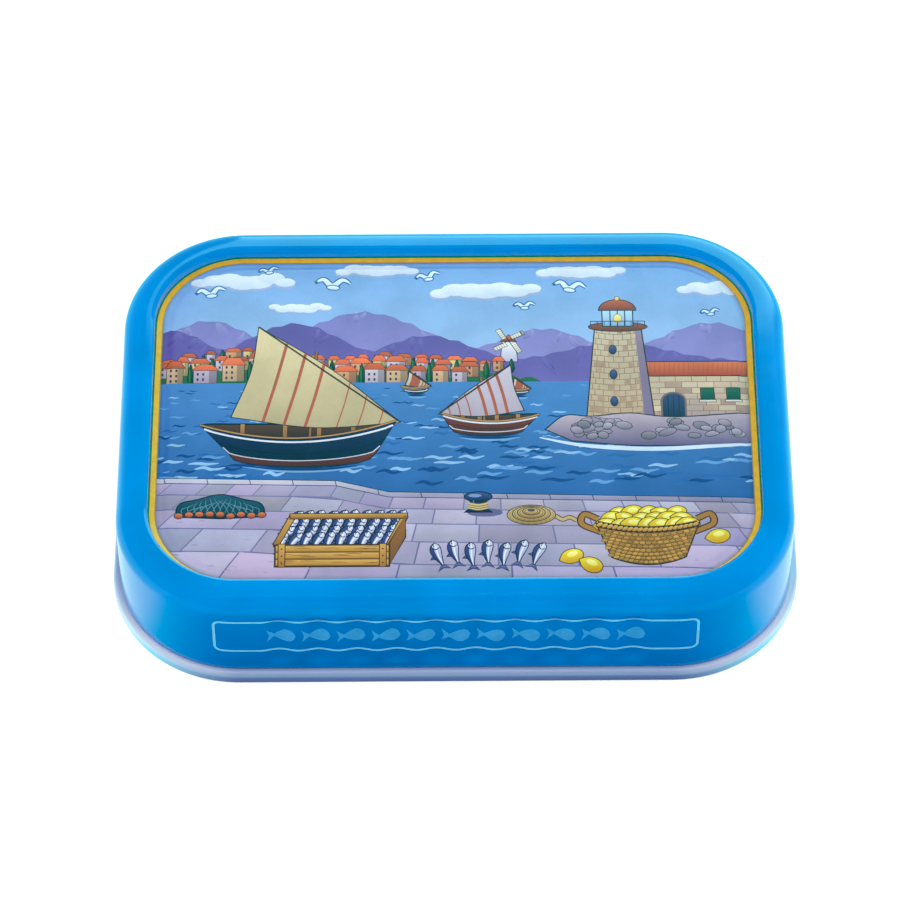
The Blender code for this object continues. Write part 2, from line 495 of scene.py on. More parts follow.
def lacquer_relief(finish):
    """The fine orange peel of stoved lacquer over the slow waves of thin pressed metal."""
    waves = finish.bump(finish.noise(170.0, 1.0), 0.35, 0.00012)
    return finish.bump(finish.noise(1500.0, 2.0), 0.05, 0.00002, waves)


def lacquer_finish():
    """Sky-blue stoved lacquer, slightly uneven in depth, with fine rubbed spots in its gloss.

    It is painted lighter on the steep wall of the recess, which the piece's "recess" marks: painted light on
    a wall that lies in shade.
    """
    lacquer = bpy.context.scene.tin_colours.lacquer
    finish = Finish("blue_lacquer", Coat_Weight=0.8, Coat_Roughness=0.04, IOR=1.38, Specular_IOR_Level=0.3)
    cloud = finish.noise(60.0, 3.0)
    rubbed = finish.noise(900.0, 4.0).between(0.62, 0.75)
    coat = finish.mixed(cloud.between(0.35, 0.65), times(lacquer, 0.86), lacquer)
    return finish.wear(
        # Painted light: the lacquer is 1.4 times lighter where the piece's "recess" mark is set
        Base_Color=finish.mixed(finish.mark("recess"), coat, times(lacquer, 1.4)),
        Roughness=0.12 + rubbed * 0.12,
        Normal=lacquer_relief(finish),
    )


def ink_finish(name, colour, metallic=0.0):
    """One printed ink under the varnish, with the faint mottle of an ink film."""
    finish = Finish(name, Coat_Weight=0.35, Coat_Roughness=0.05, IOR=1.38, Metallic=metallic)
    mottle = finish.noise(700.0, 3.0)
    return finish.wear(
        Base_Color=finish.mixed(mottle.between(0.3, 0.7), times(colour, 0.88), colour),
        Roughness=0.22 + finish.noise(300.0) * 0.1,
        Normal=lacquer_relief(finish),
    )


def picture_finish():
    """The printed picture: its inks come from the plate's colours, washed by slow and fine mottle."""
    finish = Finish("printed_picture", Coat_Weight=0.4, Coat_Roughness=0.06, IOR=1.4)
    wash = finish.noise(160.0, 4.0)
    grain = finish.noise(2600.0, 2.0)
    depth = 0.83 + wash.between(0.3, 0.7) * 0.14 + grain * 0.1
    return finish.wear(
        Base_Color=finish.scaled(finish.mark("ink", "Color"), depth),
        Roughness=0.2 + wash * 0.08,
        Normal=lacquer_relief(finish),
    )


def metal_finish(name, colour, corner_highlight, roughness, metallic):
    """Rolled metal, bare or clear-lacquered: satin, with fine lines along the tin and a faint haze.

    It takes the second colour where a piece's "bend" marks a corner: a painted highlight there.
    """
    finish = Finish(name, Metallic=metallic)
    lines = finish.noise(1.0, 3.0, finish.stretched(250.0, 5200.0, 5200.0))
    haze = finish.noise(120.0, 3.0)
    return finish.wear(
        Base_Color=finish.mixed(finish.mark("bend"), finish.mixed(haze, times(colour, 0.9), colour), corner_highlight),
        Roughness=roughness + lines * 0.1 + haze * 0.08,
        Normal=finish.bump(lines, 0.12, 0.00001),
    )


# Outlines for printing, in millimetres

INK_DEPTH = 1.25


def ink(colour):
    """Linear colour of a screen colour, deepened as ink on metal is."""
    value = np.clip(colour, 0.0, 255.0) / 255.0
    return np.where(value <= 0.04045, value / 12.92, ((value + 0.055) / 1.055) ** 2.4) ** INK_DEPTH


def box(left, low, right, high):
    """A rectangle's corners."""
    return np.array(((left, low), (right, low), (right, high), (left, high)), float)


def tapered(x, y, low_half, high_half, height):
    """A tower's outline: it stands on its place and narrows upwards."""
    return np.array(((-low_half, 0), (low_half, 0), (high_half, height), (-high_half, height))) + (x, y)


def turned(points, angle):
    """Points turned about the origin."""
    cosine, sine = math.cos(angle), math.sin(angle)
    return np.asarray(points, float) @ np.array(((cosine, sine), (-sine, cosine)))


def oval(x, y, half_width, half_height, steps=20, turn=0.0):
    """An ellipse's points, turned about its centre."""
    angle = np.linspace(0.0, 2.0 * np.pi, steps, endpoint=False)
    return turned(np.c_[half_width * np.cos(angle), half_height * np.sin(angle)], turn) + (x, y)


def curve(points, steps=6):
    """A smooth line through the points: each stretch is the cubic with its neighbours' slopes."""
    points = np.asarray(points, float)
    led = np.vstack([2 * points[0] - points[1], points, 2 * points[-1] - points[-2]])
    before, start, after, later = led[:-3], led[1:-2], led[2:-1], led[3:]
    t = np.linspace(0.0, 1.0, steps, endpoint=False)[:, None, None]
    slope, bend = after - before, 2 * before - 5 * start + 4 * after - later
    twist = 3 * start - before - 3 * after + later
    line = 0.5 * (2 * start + slope * t + bend * t**2 + twist * t**3)
    return np.vstack([line.transpose(1, 0, 2).reshape(-1, 2), points[-1]])


def lifted(line, up):
    """The line moved up by one amount, or by one for each point."""
    return line + np.stack(np.broadcast_arrays(0.0, up), axis=-1)


def leaf(line, half):
    """The outline round a lying line: half above it and half below."""
    return np.vstack([lifted(line, half), lifted(line, -half)[::-1]])


def ribbon(line, half_width):
    """The band round a line: out along one side and back along the other."""
    line = np.asarray(line, float)
    slope = np.gradient(line, axis=0)
    normal = np.c_[-slope[:, 1], slope[:, 0]] / np.hypot(*slope.T)[:, None]
    offset = normal * np.broadcast_to(half_width, len(line))[:, None]
    return np.vstack([line + offset, (line - offset)[::-1]])


def stroke(line, width):
    """A pen stroke, thickest in its middle: its half width follows the sine of its length."""
    swell = np.sin(np.linspace(0.15, np.pi - 0.15, len(line))) ** 0.7
    return ribbon(line, width / 2.0 * swell)


def signed_area(outline):
    """Half the sum of the cross products of following points: above 0 if the outline runs anticlockwise."""
    after = np.roll(outline, -1, 0)
    return 0.5 * float(np.sum(outline[:, 0] * after[:, 1] - after[:, 0] * outline[:, 1]))


def grown(outline, amount):
    """The outline moved outwards, each corner along the mitre of its two edges."""
    edge = np.roll(outline, -1, 0) - outline
    normal = np.c_[edge[:, 1], -edge[:, 0]] / np.maximum(np.hypot(*edge.T), 1e-9)[:, None]
    before = np.roll(normal, 1, 0)
    mitre = (normal + before) / np.maximum(1.0 + np.sum(normal * before, axis=1), 0.35)[:, None]
    return outline + mitre * amount * math.copysign(1.0, signed_area(outline))


def rounded_box(half_length, low, high, radius):
    """A rectangle with round corners, with its long sides divided finely enough to follow the flutes."""
    angle = np.linspace(0.0, np.pi / 2.0, 7)
    arc = np.c_[np.cos(angle), np.sin(angle)] * radius
    reach = half_length - radius
    along = np.linspace(-reach, reach, int(2 * reach / 0.35))[1:-1]
    return np.vstack([
        arc + (reach, high - radius),
        np.c_[along[::-1], np.full(len(along), high)],
        (arc @ np.array(((0.0, 1.0), (-1.0, 0.0)))) + (-reach, high - radius),
        -arc + (-reach, low + radius),
        np.c_[along, np.full(len(along), low)],
        (arc @ np.array(((0.0, -1.0), (1.0, 0.0)))) + (reach, low + radius),
    ])


def panel_outline(inset=6.1, steps=24):
    """The picture's edge: the wall's rounded rectangle moved inwards."""
    radius = bpy.context.scene.tin_shape.corner_radius / MM - inset
    half = WALL_HALF / MM - inset - radius
    angle = np.linspace(0.0, 2.0 * np.pi, 4 * steps, endpoint=False)
    quarter = np.sign(np.c_[np.cos(angle + 1e-6), np.sin(angle + 1e-6)])
    return quarter * half + radius * np.c_[np.cos(angle), np.sin(angle)]


# Prints and plates

# Pen colours, and what the side prints store. Colours of a print are screen colours, from 0 to 255.
INK = (38, 36, 62)
WOOD_INK = (84, 48, 26)
SIDE_LINE_KEY = (120, 190, 245)
SIDE_TINT_KEY = (65, 155, 208)


class Print:
    """A painter's list of shapes. Each has an outline and a colour at its lower and its upper edge."""

    def __init__(self):
        self.outlines = []
        self.colours = []

    def add(self, outline, low, high=None):
        """One flat shape. With no colour it is cut out of what lies below it."""
        outline = np.asarray(outline, float)
        if signed_area(outline) < 0.0:
            outline = outline[::-1]
        self.outlines.append(outline)
        self.colours.append(None if low is None else (ink(low), ink(low if high is None else high)))

    def drawn(self, outline, low, high=None, line=0.2, pen=INK):
        """A shape with an inked outline round it."""
        outline = np.asarray(outline, float)
        self.add(grown(outline, line), pen)
        self.add(outline, low, high)

    def pen(self, line, width=0.2, colour=INK):
        """A pen stroke along a line."""
        self.add(stroke(np.asarray(line, float), width), colour)

    def cord(self, line, edge, core, colour, pen=WOOD_INK):
        """A rope, a spar or the like along a line: a pale core within a wider dark band."""
        self.add(ribbon(line, edge), pen)
        self.add(ribbon(line, core), colour)


def divided(sheet, rings=()):
    """Divide the plane along every outline and extra ring.

    Returns the points, the triangles, and the topmost shape of each triangle. Triangles outside the
    first shape, and those whose topmost shape has no colour, are left out.
    """
    loops = list(sheet.outlines) + list(rings)
    ends = np.cumsum([len(loop) for loop in loops])
    ranges = [range(end - len(loop), end) for loop, end in zip(loops, ends)]
    faces = [list(span) for span in ranges[: len(sheet.outlines)]]
    edges = [(span[i - 1], span[i]) for span in ranges[len(sheet.outlines):] for i in range(len(span))]
    points = [Vector(point) for point in np.vstack(loops).tolist()]
    result = delaunay_2d_cdt(points, edges, faces, 1, 1e-5, True)
    points, triangles = np.array([tuple(point) for point in result[0]]), np.array(result[2])
    low = [outline.min(axis=0) for outline in sheet.outlines]
    high = [outline.max(axis=0) for outline in sheet.outlines]
    shapes = np.full(len(triangles), -1)
    for row, (middle, covering) in enumerate(zip(points[triangles].mean(axis=1), result[5])):
        if 0 in covering:
            shapes[row] = max(k for k in covering if all(low[k] <= middle) and all(middle <= high[k]))
    coloured = np.array([colour is not None for colour in sheet.colours])
    kept = (shapes >= 0) & coloured[shapes]
    return points, triangles[kept], shapes[kept]


def corner_inks(sheet, points, triangles, shapes):
    """Colour at each triangle's corners: it runs evenly from its shape's lower to its upper edge."""
    low, high = (np.array([colour[k] if colour else (0, 0, 0) for colour in sheet.colours]) for k in (0, 1))
    base = np.array([outline[:, 1].min() for outline in sheet.outlines])
    top = np.array([outline[:, 1].max() for outline in sheet.outlines])
    share = (points[triangles][:, :, 1] - base[shapes][:, None]) / (top - base)[shapes][:, None]
    share = np.clip(share, 0.0, 1.0)[:, :, None]
    return low[shapes][:, None] + (high - low)[shapes][:, None] * share


def printed_plate(name, sheet, finish, place, rings=(), flat_back=False, shade=None):
    """A thin closed plate whose front is divided by a print.

    place(points, front) gives the points in space of its front or its back. The sides join the edges
    that only one triangle has. The back repeats the front, or is one face where the edge is convex.
    shade(points) darkens the inks.
    """
    points, triangles, shapes = divided(sheet, rings)
    used, triangles = np.unique(triangles, return_inverse=True)
    points, triangles = points[used], triangles.reshape(-1, 3)
    edges = np.concatenate([triangles[:, (0, 1)], triangles[:, (1, 2)], triangles[:, (2, 0)]])
    codes = edges.min(axis=1) * len(points) + edges.max(axis=1)
    _, first, count = np.unique(codes, return_index=True, return_counts=True)
    border = edges[first[count == 1]]
    if flat_back:
        rim = np.unique(border)
        order = np.argsort(np.arctan2(points[rim, 1], points[rim, 0]))[::-1]
        backs = [(order + len(points)).tolist()]
    else:
        rim = np.arange(len(points))
        backs = (triangles[:, ::-1] + len(points)).tolist()
    renumber = np.full(len(points), -1)
    renumber[rim] = np.arange(len(rim)) + len(points)
    sides = np.c_[border[:, ::-1], renumber[border]].tolist()
    vertices = np.vstack([place(points, True), place(points[rim], False)])
    piece = new_piece(name, vertices, triangles.tolist() + sides + backs, finish)
    colours = corner_inks(sheet, points, triangles, shapes)
    if shade:
        colours = colours * shade(points)[triangles][:, :, None]
    colours = colours.reshape(-1, 3)
    corners = np.ones((len(piece.data.loops), 4))
    corners[:, :3] = colours[0]
    corners[: len(colours), :3] = colours
    layer = piece.data.color_attributes.new("ink", "FLOAT_COLOR", "CORNER")
    layer.data.foreach_set("color", corners.ravel())
    return piece, points, triangles


# Motifs of the picture, in millimetres on the panel, whose middle is the origin

SKY = ((186, 208, 236), (138, 176, 228))
SEA = ((62, 108, 170), (104, 152, 206))
CLOUD_TONES = ((-0.175, (176, 184, 220), (200, 206, 232)), (0.0, (222, 228, 242), (246, 248, 252)))
WALLS = np.array(((236, 196, 160), (240, 214, 150), (226, 206, 216), (236, 176, 132), (214, 190, 208)))
WAVES = ((128, 172, 218), (172, 204, 234), (46, 86, 150), (70, 122, 184))
STONE_LIT = (222, 202, 176)
STONE = (204, 178, 148)
PURPLE = (122, 98, 172)
NAVY = np.array((36, 42, 82))
WICKER = np.array((218, 168, 82))
LEMON = (250, 226, 58)
QUAY = np.array((208, 192, 216))
ROCK = np.array((196, 180, 196))
ROOF = np.array((222, 118, 78))
LEAF = (40, 112, 70)

# Places: (x, y, size) of clouds and far boats, (x, y, size, tilt) of gulls, (x, y, turn) of lemons
CLOUDS = ((-33, 27, 3.0), (-12, 29, 2.4), (5, 24.5, 3.2), (20, 28.5, 2.6), (-24, 21.5, 1.8), (42, 25, 2.6))
GULLS = (
    (-38, 24.4, 2.4, 0.1), (-19, 26.0, 2.8, -0.12), (-4, 27.5, 2.0, 0.2), (11, 21.5, 1.7, 0.0),
    (18, 25.2, 2.6, -0.2), (-29, 29.0, 1.6, 0.15), (40, 20.0, 1.5, 0.1),
)
FAR_BOATS = ((-6, 5.0, 2.2), (-30, 5.1, 1.8), (10, 4.6, 1.6))
LOOSE_LEMONS = ((17.5, -27.0, 0.4), (20.4, -28.6, -0.5), (39.6, -23.4, 0.2))


def draw_sky(sheet, rng):
    """A sky with clouds: each is a row of ovals over the same row in shadow."""
    sheet.add(box(-50, 6, 50, 34), *SKY)
    for x, y, size in CLOUDS:
        swell = 1.0 - np.linspace(-0.8, 0.8, 7) ** 2
        puffs = np.c_[np.linspace(-2.2, 2.2, 7), rng.uniform(-0.1, 0.25, 7), 0.35 + 0.5 * swell] * size
        for shift, low, high in CLOUD_TONES:
            for across, up, radius in puffs:
                sheet.add(oval(x + across, y + up + shift * size, radius, radius * 0.55, 18), low, high)


def draw_gull(sheet, x, y, size, tilt):
    """Two drooping wings of white with a blue edge, and a short body."""
    wings = curve(((-1.0, 0.1), (-0.55, 0.42), (0.0, 0.0), (0.5, 0.5), (1.0, 0.28)), 5)
    wings = turned(wings * size, tilt) + (x, y)
    half = size * (0.03 + 0.13 * np.sin(np.linspace(0.0, np.pi, len(wings))))
    sheet.add(ribbon(wings, half + 0.22), (46, 116, 186))
    sheet.add(ribbon(wings, half), (226, 238, 250), (252, 254, 255))
    body = oval(x + 0.05 * size, y - 0.12 * size, 0.34 * size, 0.14 * size, 14, tilt)
    sheet.drawn(body, (220, 232, 246), (252, 254, 255), 0.18, (46, 116, 186))
    sheet.pen(wings[:3], 0.3, (60, 70, 110))


def ridge_line(left, right, base, peaks):
    """Height of a ridge: the tallest of a few rounded peaks, with a fine ripple."""
    x = np.linspace(left, right, 70)
    height = np.full_like(x, base)
    for middle, top, spread in peaks:
        height = np.maximum(height, base + (top - base) * np.exp(-((x - middle) / spread) ** 2))
    return np.c_[x, height + 0.25 * np.sin(1.7 * x) + 0.15 * np.sin(4.1 * x + 1.0)]


def draw_hills(sheet, rng):
    """Two ranges of hills, with pale and dark flanks, over a low green shore."""
    for base, peaks, low, high in (
        (12.0, ((-38, 19, 9), (-14, 20.5, 13), (14, 17, 9), (40, 18, 10)), (176, 166, 214), (150, 138, 200)),
        (10.5, ((-44, 17, 8), (-25, 18.5, 10), (-4, 16, 9), (25, 14.5, 10)), (140, 122, 190), PURPLE),
    ):
        ridge = ridge_line(-50, 50, base, peaks)
        sheet.add(np.vstack([ridge, (50, 4), (-50, 4)]), low, high)
        for _ in range(34):
            start = ridge[rng.integers(4, 66)] - (0.0, 0.25)
            run = rng.uniform(1.2, 3.6)
            lean = rng.uniform(-0.9, 0.9)
            flank = curve((start, start + (0.5 * lean * run, -0.55 * run), start + (lean * run, -run)), 4)
            shade = np.array(high) * rng.uniform(0.92, 1.05)
            sheet.add(stroke(flank, rng.uniform(0.5, 1.3)), shade, low)
    shore = ridge_line(-50, 12, 7.2, ((-46, 10.5, 5), (-34, 12, 7), (-12, 10.5, 8), (4, 8.6, 5)))
    sheet.add(np.vstack([shore, (14, 6.2), (-50, 6.0)]), (58, 118, 84), (92, 142, 92))


def draw_tree(sheet, x, y, height, width):
    """A dark cypress: a narrow leaf-shaped flame with a lit flank."""
    rise = np.linspace(0.0, 1.0, 9)
    swell = width * np.sin(np.pi * rise**0.8) ** 0.8 * (1.0 - 0.35 * rise)
    level = y + rise * height
    flame = np.vstack([np.c_[x + swell, level], np.c_[x - swell, level][::-1]])
    sheet.drawn(flame, (20, 70, 52), LEAF, 0.12)
    sheet.add(flame * (0.45, 0.9) + (x * 0.55 - width * 0.3, y * 0.1), LEAF, (92, 152, 84))


def draw_house(sheet, rng, x, y, width, height):
    """Front wall with windows under a tiled roof, and a shaded side."""
    wall = WALLS[rng.integers(len(WALLS))]
    roof = ROOF * rng.uniform(0.85, 1.1)
    side = width * 0.34
    sheet.drawn(box(x, y, x + width, y + height), 0.88 * wall, wall, 0.09)
    sheet.add(box(x + width - side, y, x + width, y + height), 0.72 * wall, 0.8 * wall)
    ridge = height * 0.42
    tiles = np.array(((-0.25, 0), (width + 0.25, 0), (width * 0.8, ridge), (width * 0.2, ridge)))
    sheet.drawn(tiles + (x, y + height), roof, 1.12 * roof, 0.09)
    for left in x + np.arange(0.45, width - side - 0.3, 0.85):
        for low in y + np.arange(0.45, height - 0.5, 1.05):
            sheet.add(box(left, low, left + 0.32, low + 0.5), (92, 70, 96))


def draw_town(sheet, rng):
    """Three rows of houses on two low rises, larger towards the water, with cypresses between them."""
    for row, (base, size) in enumerate(((8.6, 1.6), (7.4, 2.0), (6.1, 2.5))):
        x = -47.0 + row * 1.3
        while x < 7.0 - row * 2.5:
            width = size * rng.uniform(0.8, 1.5)
            lift = 1.8 * math.exp(-(((x + 34) / 9) ** 2)) + 0.9 * math.exp(-(((x + 10) / 9) ** 2))
            level = base + lift * (3 - row) / 2.0
            draw_house(sheet, rng, x, level, width, size * rng.uniform(0.9, 1.35))
            x += width + rng.uniform(0.1, 0.9)
            if rng.random() < 0.3:
                draw_tree(sheet, x + 0.4, level - 0.3, size * 1.7, 0.45)
                x += 0.9


def draw_windmill(sheet, x, y):
    """A white tower with a red cap and four lattice sails."""
    sheet.drawn(tapered(x, y, 1.3, 0.95, 4.0), (206, 198, 220), (246, 240, 236), 0.12)
    sheet.drawn(np.array(((-1.1, 4.0), (1.1, 4.0), (0.0, 5.3))) + (x, y), (150, 60, 48), ROOF, 0.12)
    hub = (x, y + 4.1)
    for turn in np.arange(4) * np.pi / 2.0 + 0.5:
        sheet.add(ribbon(turned(((0.0, 0.0), (2.9, 0.0)), turn) + hub, 0.07), INK)
        sheet.drawn(turned(box(0.7, 0.05, 2.8, 0.75), turn) + hub, (226, 214, 200), (250, 244, 232), 0.08)
        for bar in np.arange(1.1, 2.8, 0.4):
            sheet.add(ribbon(turned(((bar, 0.05), (bar, 0.75)), turn) + hub, 0.035), (150, 120, 110))


def draw_sea(sheet, rng):
    """Open water with short waves that grow towards the viewer."""
    sheet.add(box(-50, -20, 50, 6.6), *SEA)
    for _ in range(300):
        y = 6.2 - 19.5 * rng.random() ** 0.8
        near = (6.6 - y) / 20.0
        length = 1.0 + 4.0 * near * rng.uniform(0.6, 1.3)
        x = rng.uniform(-48, 46)
        sag = rng.uniform(0.1, 0.35) * (0.4 + near)
        wave = curve(np.array(((0, 0), (0.3, 1), (0.6, -0.2), (1, 1))) * (length, sag) + (x, y), 4)
        sheet.add(stroke(wave, 0.16 + 0.5 * near), WAVES[rng.integers(4)])


def hull_curves(length, height):
    """Near gunwale, far gunwale and keel of an open boat seen from a little above, from stern to bow."""
    t = np.linspace(0.0, 1.0, 24)
    sheer = height * (0.55 + 0.45 * (2 * t - 1) ** 2 + 0.12 * t)
    x = length * (t - 0.5)
    far = np.c_[x, sheer + height * 0.42 * np.sin(np.pi * t) ** 0.7]
    keel = np.c_[x * (0.74 + 0.02 * t) + length * 0.02, -height * 0.5 * np.sin(np.pi * t) ** 0.35]
    return np.c_[x, sheer - height * 0.1 * np.sin(np.pi * t)], far, keel


def draw_boat(sheet, x, y, length, height, hull, sail, mirrored=1.0):
    """An open fishing boat with a slanting yard and a striped three-cornered sail."""
    near, far, keel = (line * (mirrored, 1.0) + (x, y) for line in hull_curves(length, height))
    reach = np.array((mirrored, 1.0)) * length
    foot_of_mast = np.array((x, y + 0.4 * height)) + reach * (0.06, 0.0)
    head_of_mast = foot_of_mast + reach * (0.03, 0.589)
    mast = np.array((foot_of_mast, head_of_mast))
    sheet.add(np.vstack([far, near[::-1]]), (74, 50, 44), (122, 78, 58))
    sheet.add(ribbon(far, 0.16), INK)
    for k in (5, 10, 14, 18):
        sheet.drawn(ribbon((near[k], far[k]), 0.32), (170, 116, 70), (204, 152, 96), 0.1)
    sheet.cord(mast, 0.28, 0.16, (176, 124, 78), INK)
    peak = head_of_mast + reach * (-0.30, 0.16)
    tack = foot_of_mast + reach * (0.46, 0.12)
    clew = foot_of_mast + reach * (-0.40, 0.16)
    luff = curve((tack, (tack + peak) / 2 + reach * (0.02, 0.025), peak), 8)
    leech = curve((peak, (peak + clew) / 2 + reach * (0.03, 0.0), clew), 8)
    foot = curve((clew, (clew + tack) / 2 + reach * (0.0, -0.05), tack), 8)
    sheet.drawn(np.vstack([luff, leech[1:], foot[1:-1]]), 0.84 * np.array(sail), sail, 0.16)
    for share in np.linspace(0.14, 0.86, 6):
        a = luff[int(share * (len(luff) - 1))]
        b = foot[::-1][int(share * (len(foot) - 1))]
        stripe = curve((a, (a + b) / 2 + (0.12, 0.0), b), 4)
        sheet.add(ribbon(stripe, 0.1 if share < 0.5 else 0.24), (196, 108, 84))
    sheet.add(ribbon(np.array((tack, peak)) + (0.0, 0.12), 0.15), WOOD_INK)
    sheet.drawn(np.vstack([near, keel[::-1]]), 0.7 * hull, 1.25 * hull + 8, 0.18)
    boot = near * 0.2 + keel * 0.8
    sheet.add(np.vstack([boot, keel[::-1]]), (96, 40, 38), (150, 66, 54))
    sheet.add(ribbon(boot, 0.08), (230, 226, 236))
    sheet.add(ribbon(near * 0.45 + keel * 0.55, 0.05), 0.55 * hull)
    sheet.add(ribbon(near * 0.86 + keel * 0.14, 0.17), (236, 232, 240))
    sheet.add(ribbon(near, 0.24), INK)
    sheet.add(ribbon(near + (0.0, 0.03), 0.13), (206, 158, 100))
    for k in range(2, 23, 3):
        sheet.pen((near[k] * 0.8 + keel[k] * 0.2, near[k] * 0.3 + keel[k] * 0.7), 0.08, (20, 24, 50))
    for shift, tone in ((0.0, (40, 74, 134)), (0.55, (40, 74, 134)), (1.1, (146, 184, 222))):
        sheet.add(stroke(curve(keel[[2, 8, 15, 21]] + (0.2 * shift, -0.35 - shift * 0.6), 4), 0.35), tone)


def draw_bricks(sheet, rng, left, low, right, high, course):
    """Courses of blocks in staggered bond: thin joints, with some blocks tinted."""
    for row, y in enumerate(np.arange(low, high - 0.3, course)):
        top = min(y + course, high)
        x = left - (row % 2) * course * 1.1
        while x < right:
            width = course * rng.uniform(1.9, 2.5)
            a, b = max(x, left), min(x + width, right)
            if b - a > 0.3 and rng.random() < 0.45:
                tone = np.array(STONE_LIT if rng.random() < 0.55 else (198, 168, 150))
                sheet.add(box(a + 0.06, y + 0.06, b - 0.06, top - 0.06), tone * rng.uniform(0.93, 1.04))
            if left < x < right:
                sheet.add(box(x - 0.045, y, x + 0.045, top), (156, 118, 104))
            x += width
        joint = curve(((left, y), ((left + right) / 2, y + 0.1), (right, y)), 4)
        sheet.add(ribbon(joint, 0.05), (162, 124, 108))


def draw_lighthouse(sheet, rng, x, y, height):
    """A tapering tower of stone courses with a gallery, a glazed lantern and a domed roof."""
    low_half, high_half, courses = 5.2, 3.5, 17
    joint = (160, 122, 106)
    sheet.drawn(tapered(x, y, low_half, high_half, height), STONE, STONE_LIT, 0.2, WOOD_INK)
    for row in range(courses):
        share = row / courses
        half = low_half + (high_half - low_half) * share
        level = y + height * share
        bow = np.array(((-half, 0.0), (0.0, -0.45), (half, 0.0))) + (x, level)
        sheet.add(ribbon(curve(bow, 5), 0.05), joint)
        for place in np.linspace(-0.85, 0.85, 7) + (0.14 if row % 2 else 0.0):
            left, low = x + half * np.sin(place * 1.35), level - 0.4 * np.cos(place * 1.35)
            top = low + height / courses
            sheet.add(ribbon(((left, low), (left, top)), 0.045), joint)
            if rng.random() < 0.35 and place < 0.7:
                block = box(left + 0.1, low + 0.12, left + 0.2 * half, top - 0.05)
                sheet.add(block, np.array((196, 164, 140)) * rng.uniform(0.95, 1.08))
    flank = ((0.72 * low_half, 0), (low_half, 0), (high_half, height), (0.74 * high_half, height))
    sheet.add(np.array(flank) + (x, y), (146, 126, 158), (170, 146, 166))
    for share in (0.22, 0.5, 0.76):
        window = oval(x - 0.9, y + height * share, 0.5, 0.85, 14)
        sheet.drawn(window, (60, 66, 110), (96, 110, 160), 0.14, WOOD_INK)
    top = y + height
    sheet.drawn(oval(x, top, high_half + 1.0, 0.85, 24), (120, 60, 50), (176, 92, 70), 0.16)
    sheet.drawn(box(x - 2.3, top + 0.2, x + 2.3, top + 3.4), (150, 186, 222), (210, 228, 244), 0.18)
    for bar in (-1.15, 0.0, 1.15):
        sheet.add(box(x + bar - 0.09, top + 0.2, x + bar + 0.09, top + 3.4), (64, 70, 112))
    sheet.drawn(oval(x, top + 1.7, 0.6, 0.8, 14), (250, 210, 90), (255, 244, 180), 0.1, (190, 140, 40))
    sheet.drawn(oval(x, top + 3.4, 2.8, 2.0, 32)[:17], (150, 62, 46), (214, 104, 72), 0.18)
    sheet.drawn(oval(x, top + 5.7, 0.35, 0.4, 12), (236, 188, 84), (255, 230, 150), 0.1)
    for post in np.linspace(-high_half - 0.7, high_half + 0.7, 9):
        sheet.add(box(x + post - 0.05, top + 0.1, x + post + 0.05, top + 1.1), INK)
    sheet.add(box(x - high_half - 0.8, top + 1.05, x + high_half + 0.8, top + 1.2), INK)


def draw_store(sheet, rng, x, y, width, height):
    """A stone store house by the water, with a rounded door, two shutters and a tiled roof."""
    sheet.drawn(box(x, y, x + width, y + height), (196, 172, 168), (224, 200, 170), 0.18, WOOD_INK)
    draw_bricks(sheet, rng, x, y, x + width, y + height, 1.15)
    eaves = y + height
    roof = np.array(((-0.9, 0.0), (width + 0.9, 0.0), (width - 0.4, 2.7), (0.6, 2.7))) + (x, eaves)
    sheet.drawn(roof, (190, 88, 62), (232, 136, 92), 0.18)
    for tile in x + np.arange(0.4, width, 0.75):
        sheet.pen(((tile, eaves + 0.15), (tile + 0.15, eaves + 2.5)), 0.14, (150, 64, 50))
    arch = np.vstack([box(x + 3.0, y, x + 6.4, y + 3.2)[:2], oval(x + 4.7, y + 3.2, 1.7, 1.5, 24)[:13]])
    sheet.drawn(arch, (52, 62, 96), (78, 92, 134), 0.3, (150, 124, 120))
    for board in (x + 3.85, x + 4.7, x + 5.55):
        sheet.add(box(board - 0.05, y, board + 0.05, y + 4.2), (34, 40, 70))
    for left in (x + 9.0, x + 13.0):
        sheet.drawn(box(left, y + 3.4, left + 1.9, y + 5.6), (40, 96, 84), (70, 136, 110), 0.16, WOOD_INK)
        for slat in y + np.arange(3.65, 5.6, 0.35):
            sheet.add(box(left + 0.1, slat, left + 1.8, slat + 0.09), (26, 66, 60))
        sheet.drawn(box(left - 0.3, y + 3.0, left + 2.2, y + 3.35), (220, 208, 206), (240, 230, 220), 0.1)


def draw_rocks(sheet, rng):
    """The point of land under the lighthouse, with boulders and a line of foam."""
    shore = curve((
        (14, -2.8), (17, -0.2), (21, -0.4), (27, 0.2), (34, -0.6),
        (50, 0.0), (50, -5.0), (30, -6.0), (18, -5.0),
    ), 5)
    sheet.drawn(shore, (128, 112, 150), (206, 186, 196), 0.2)
    for _ in range(36):
        x, y = rng.uniform(17, 45), rng.uniform(-4.4, -1.2)
        stone = oval(x, y, rng.uniform(0.7, 1.5), rng.uniform(0.45, 0.8), 9, rng.uniform(-0.4, 0.4))
        tone = ROCK * rng.uniform(0.85, 1.1)
        sheet.drawn(stone, tone * 0.75, tone, 0.1)
    foam = curve(((13, -4.4), (20, -6.0), (30, -6.7), (40, -6.2), (50, -5.6)), 6)
    sheet.add(stroke(foam, 0.8), (226, 236, 246))


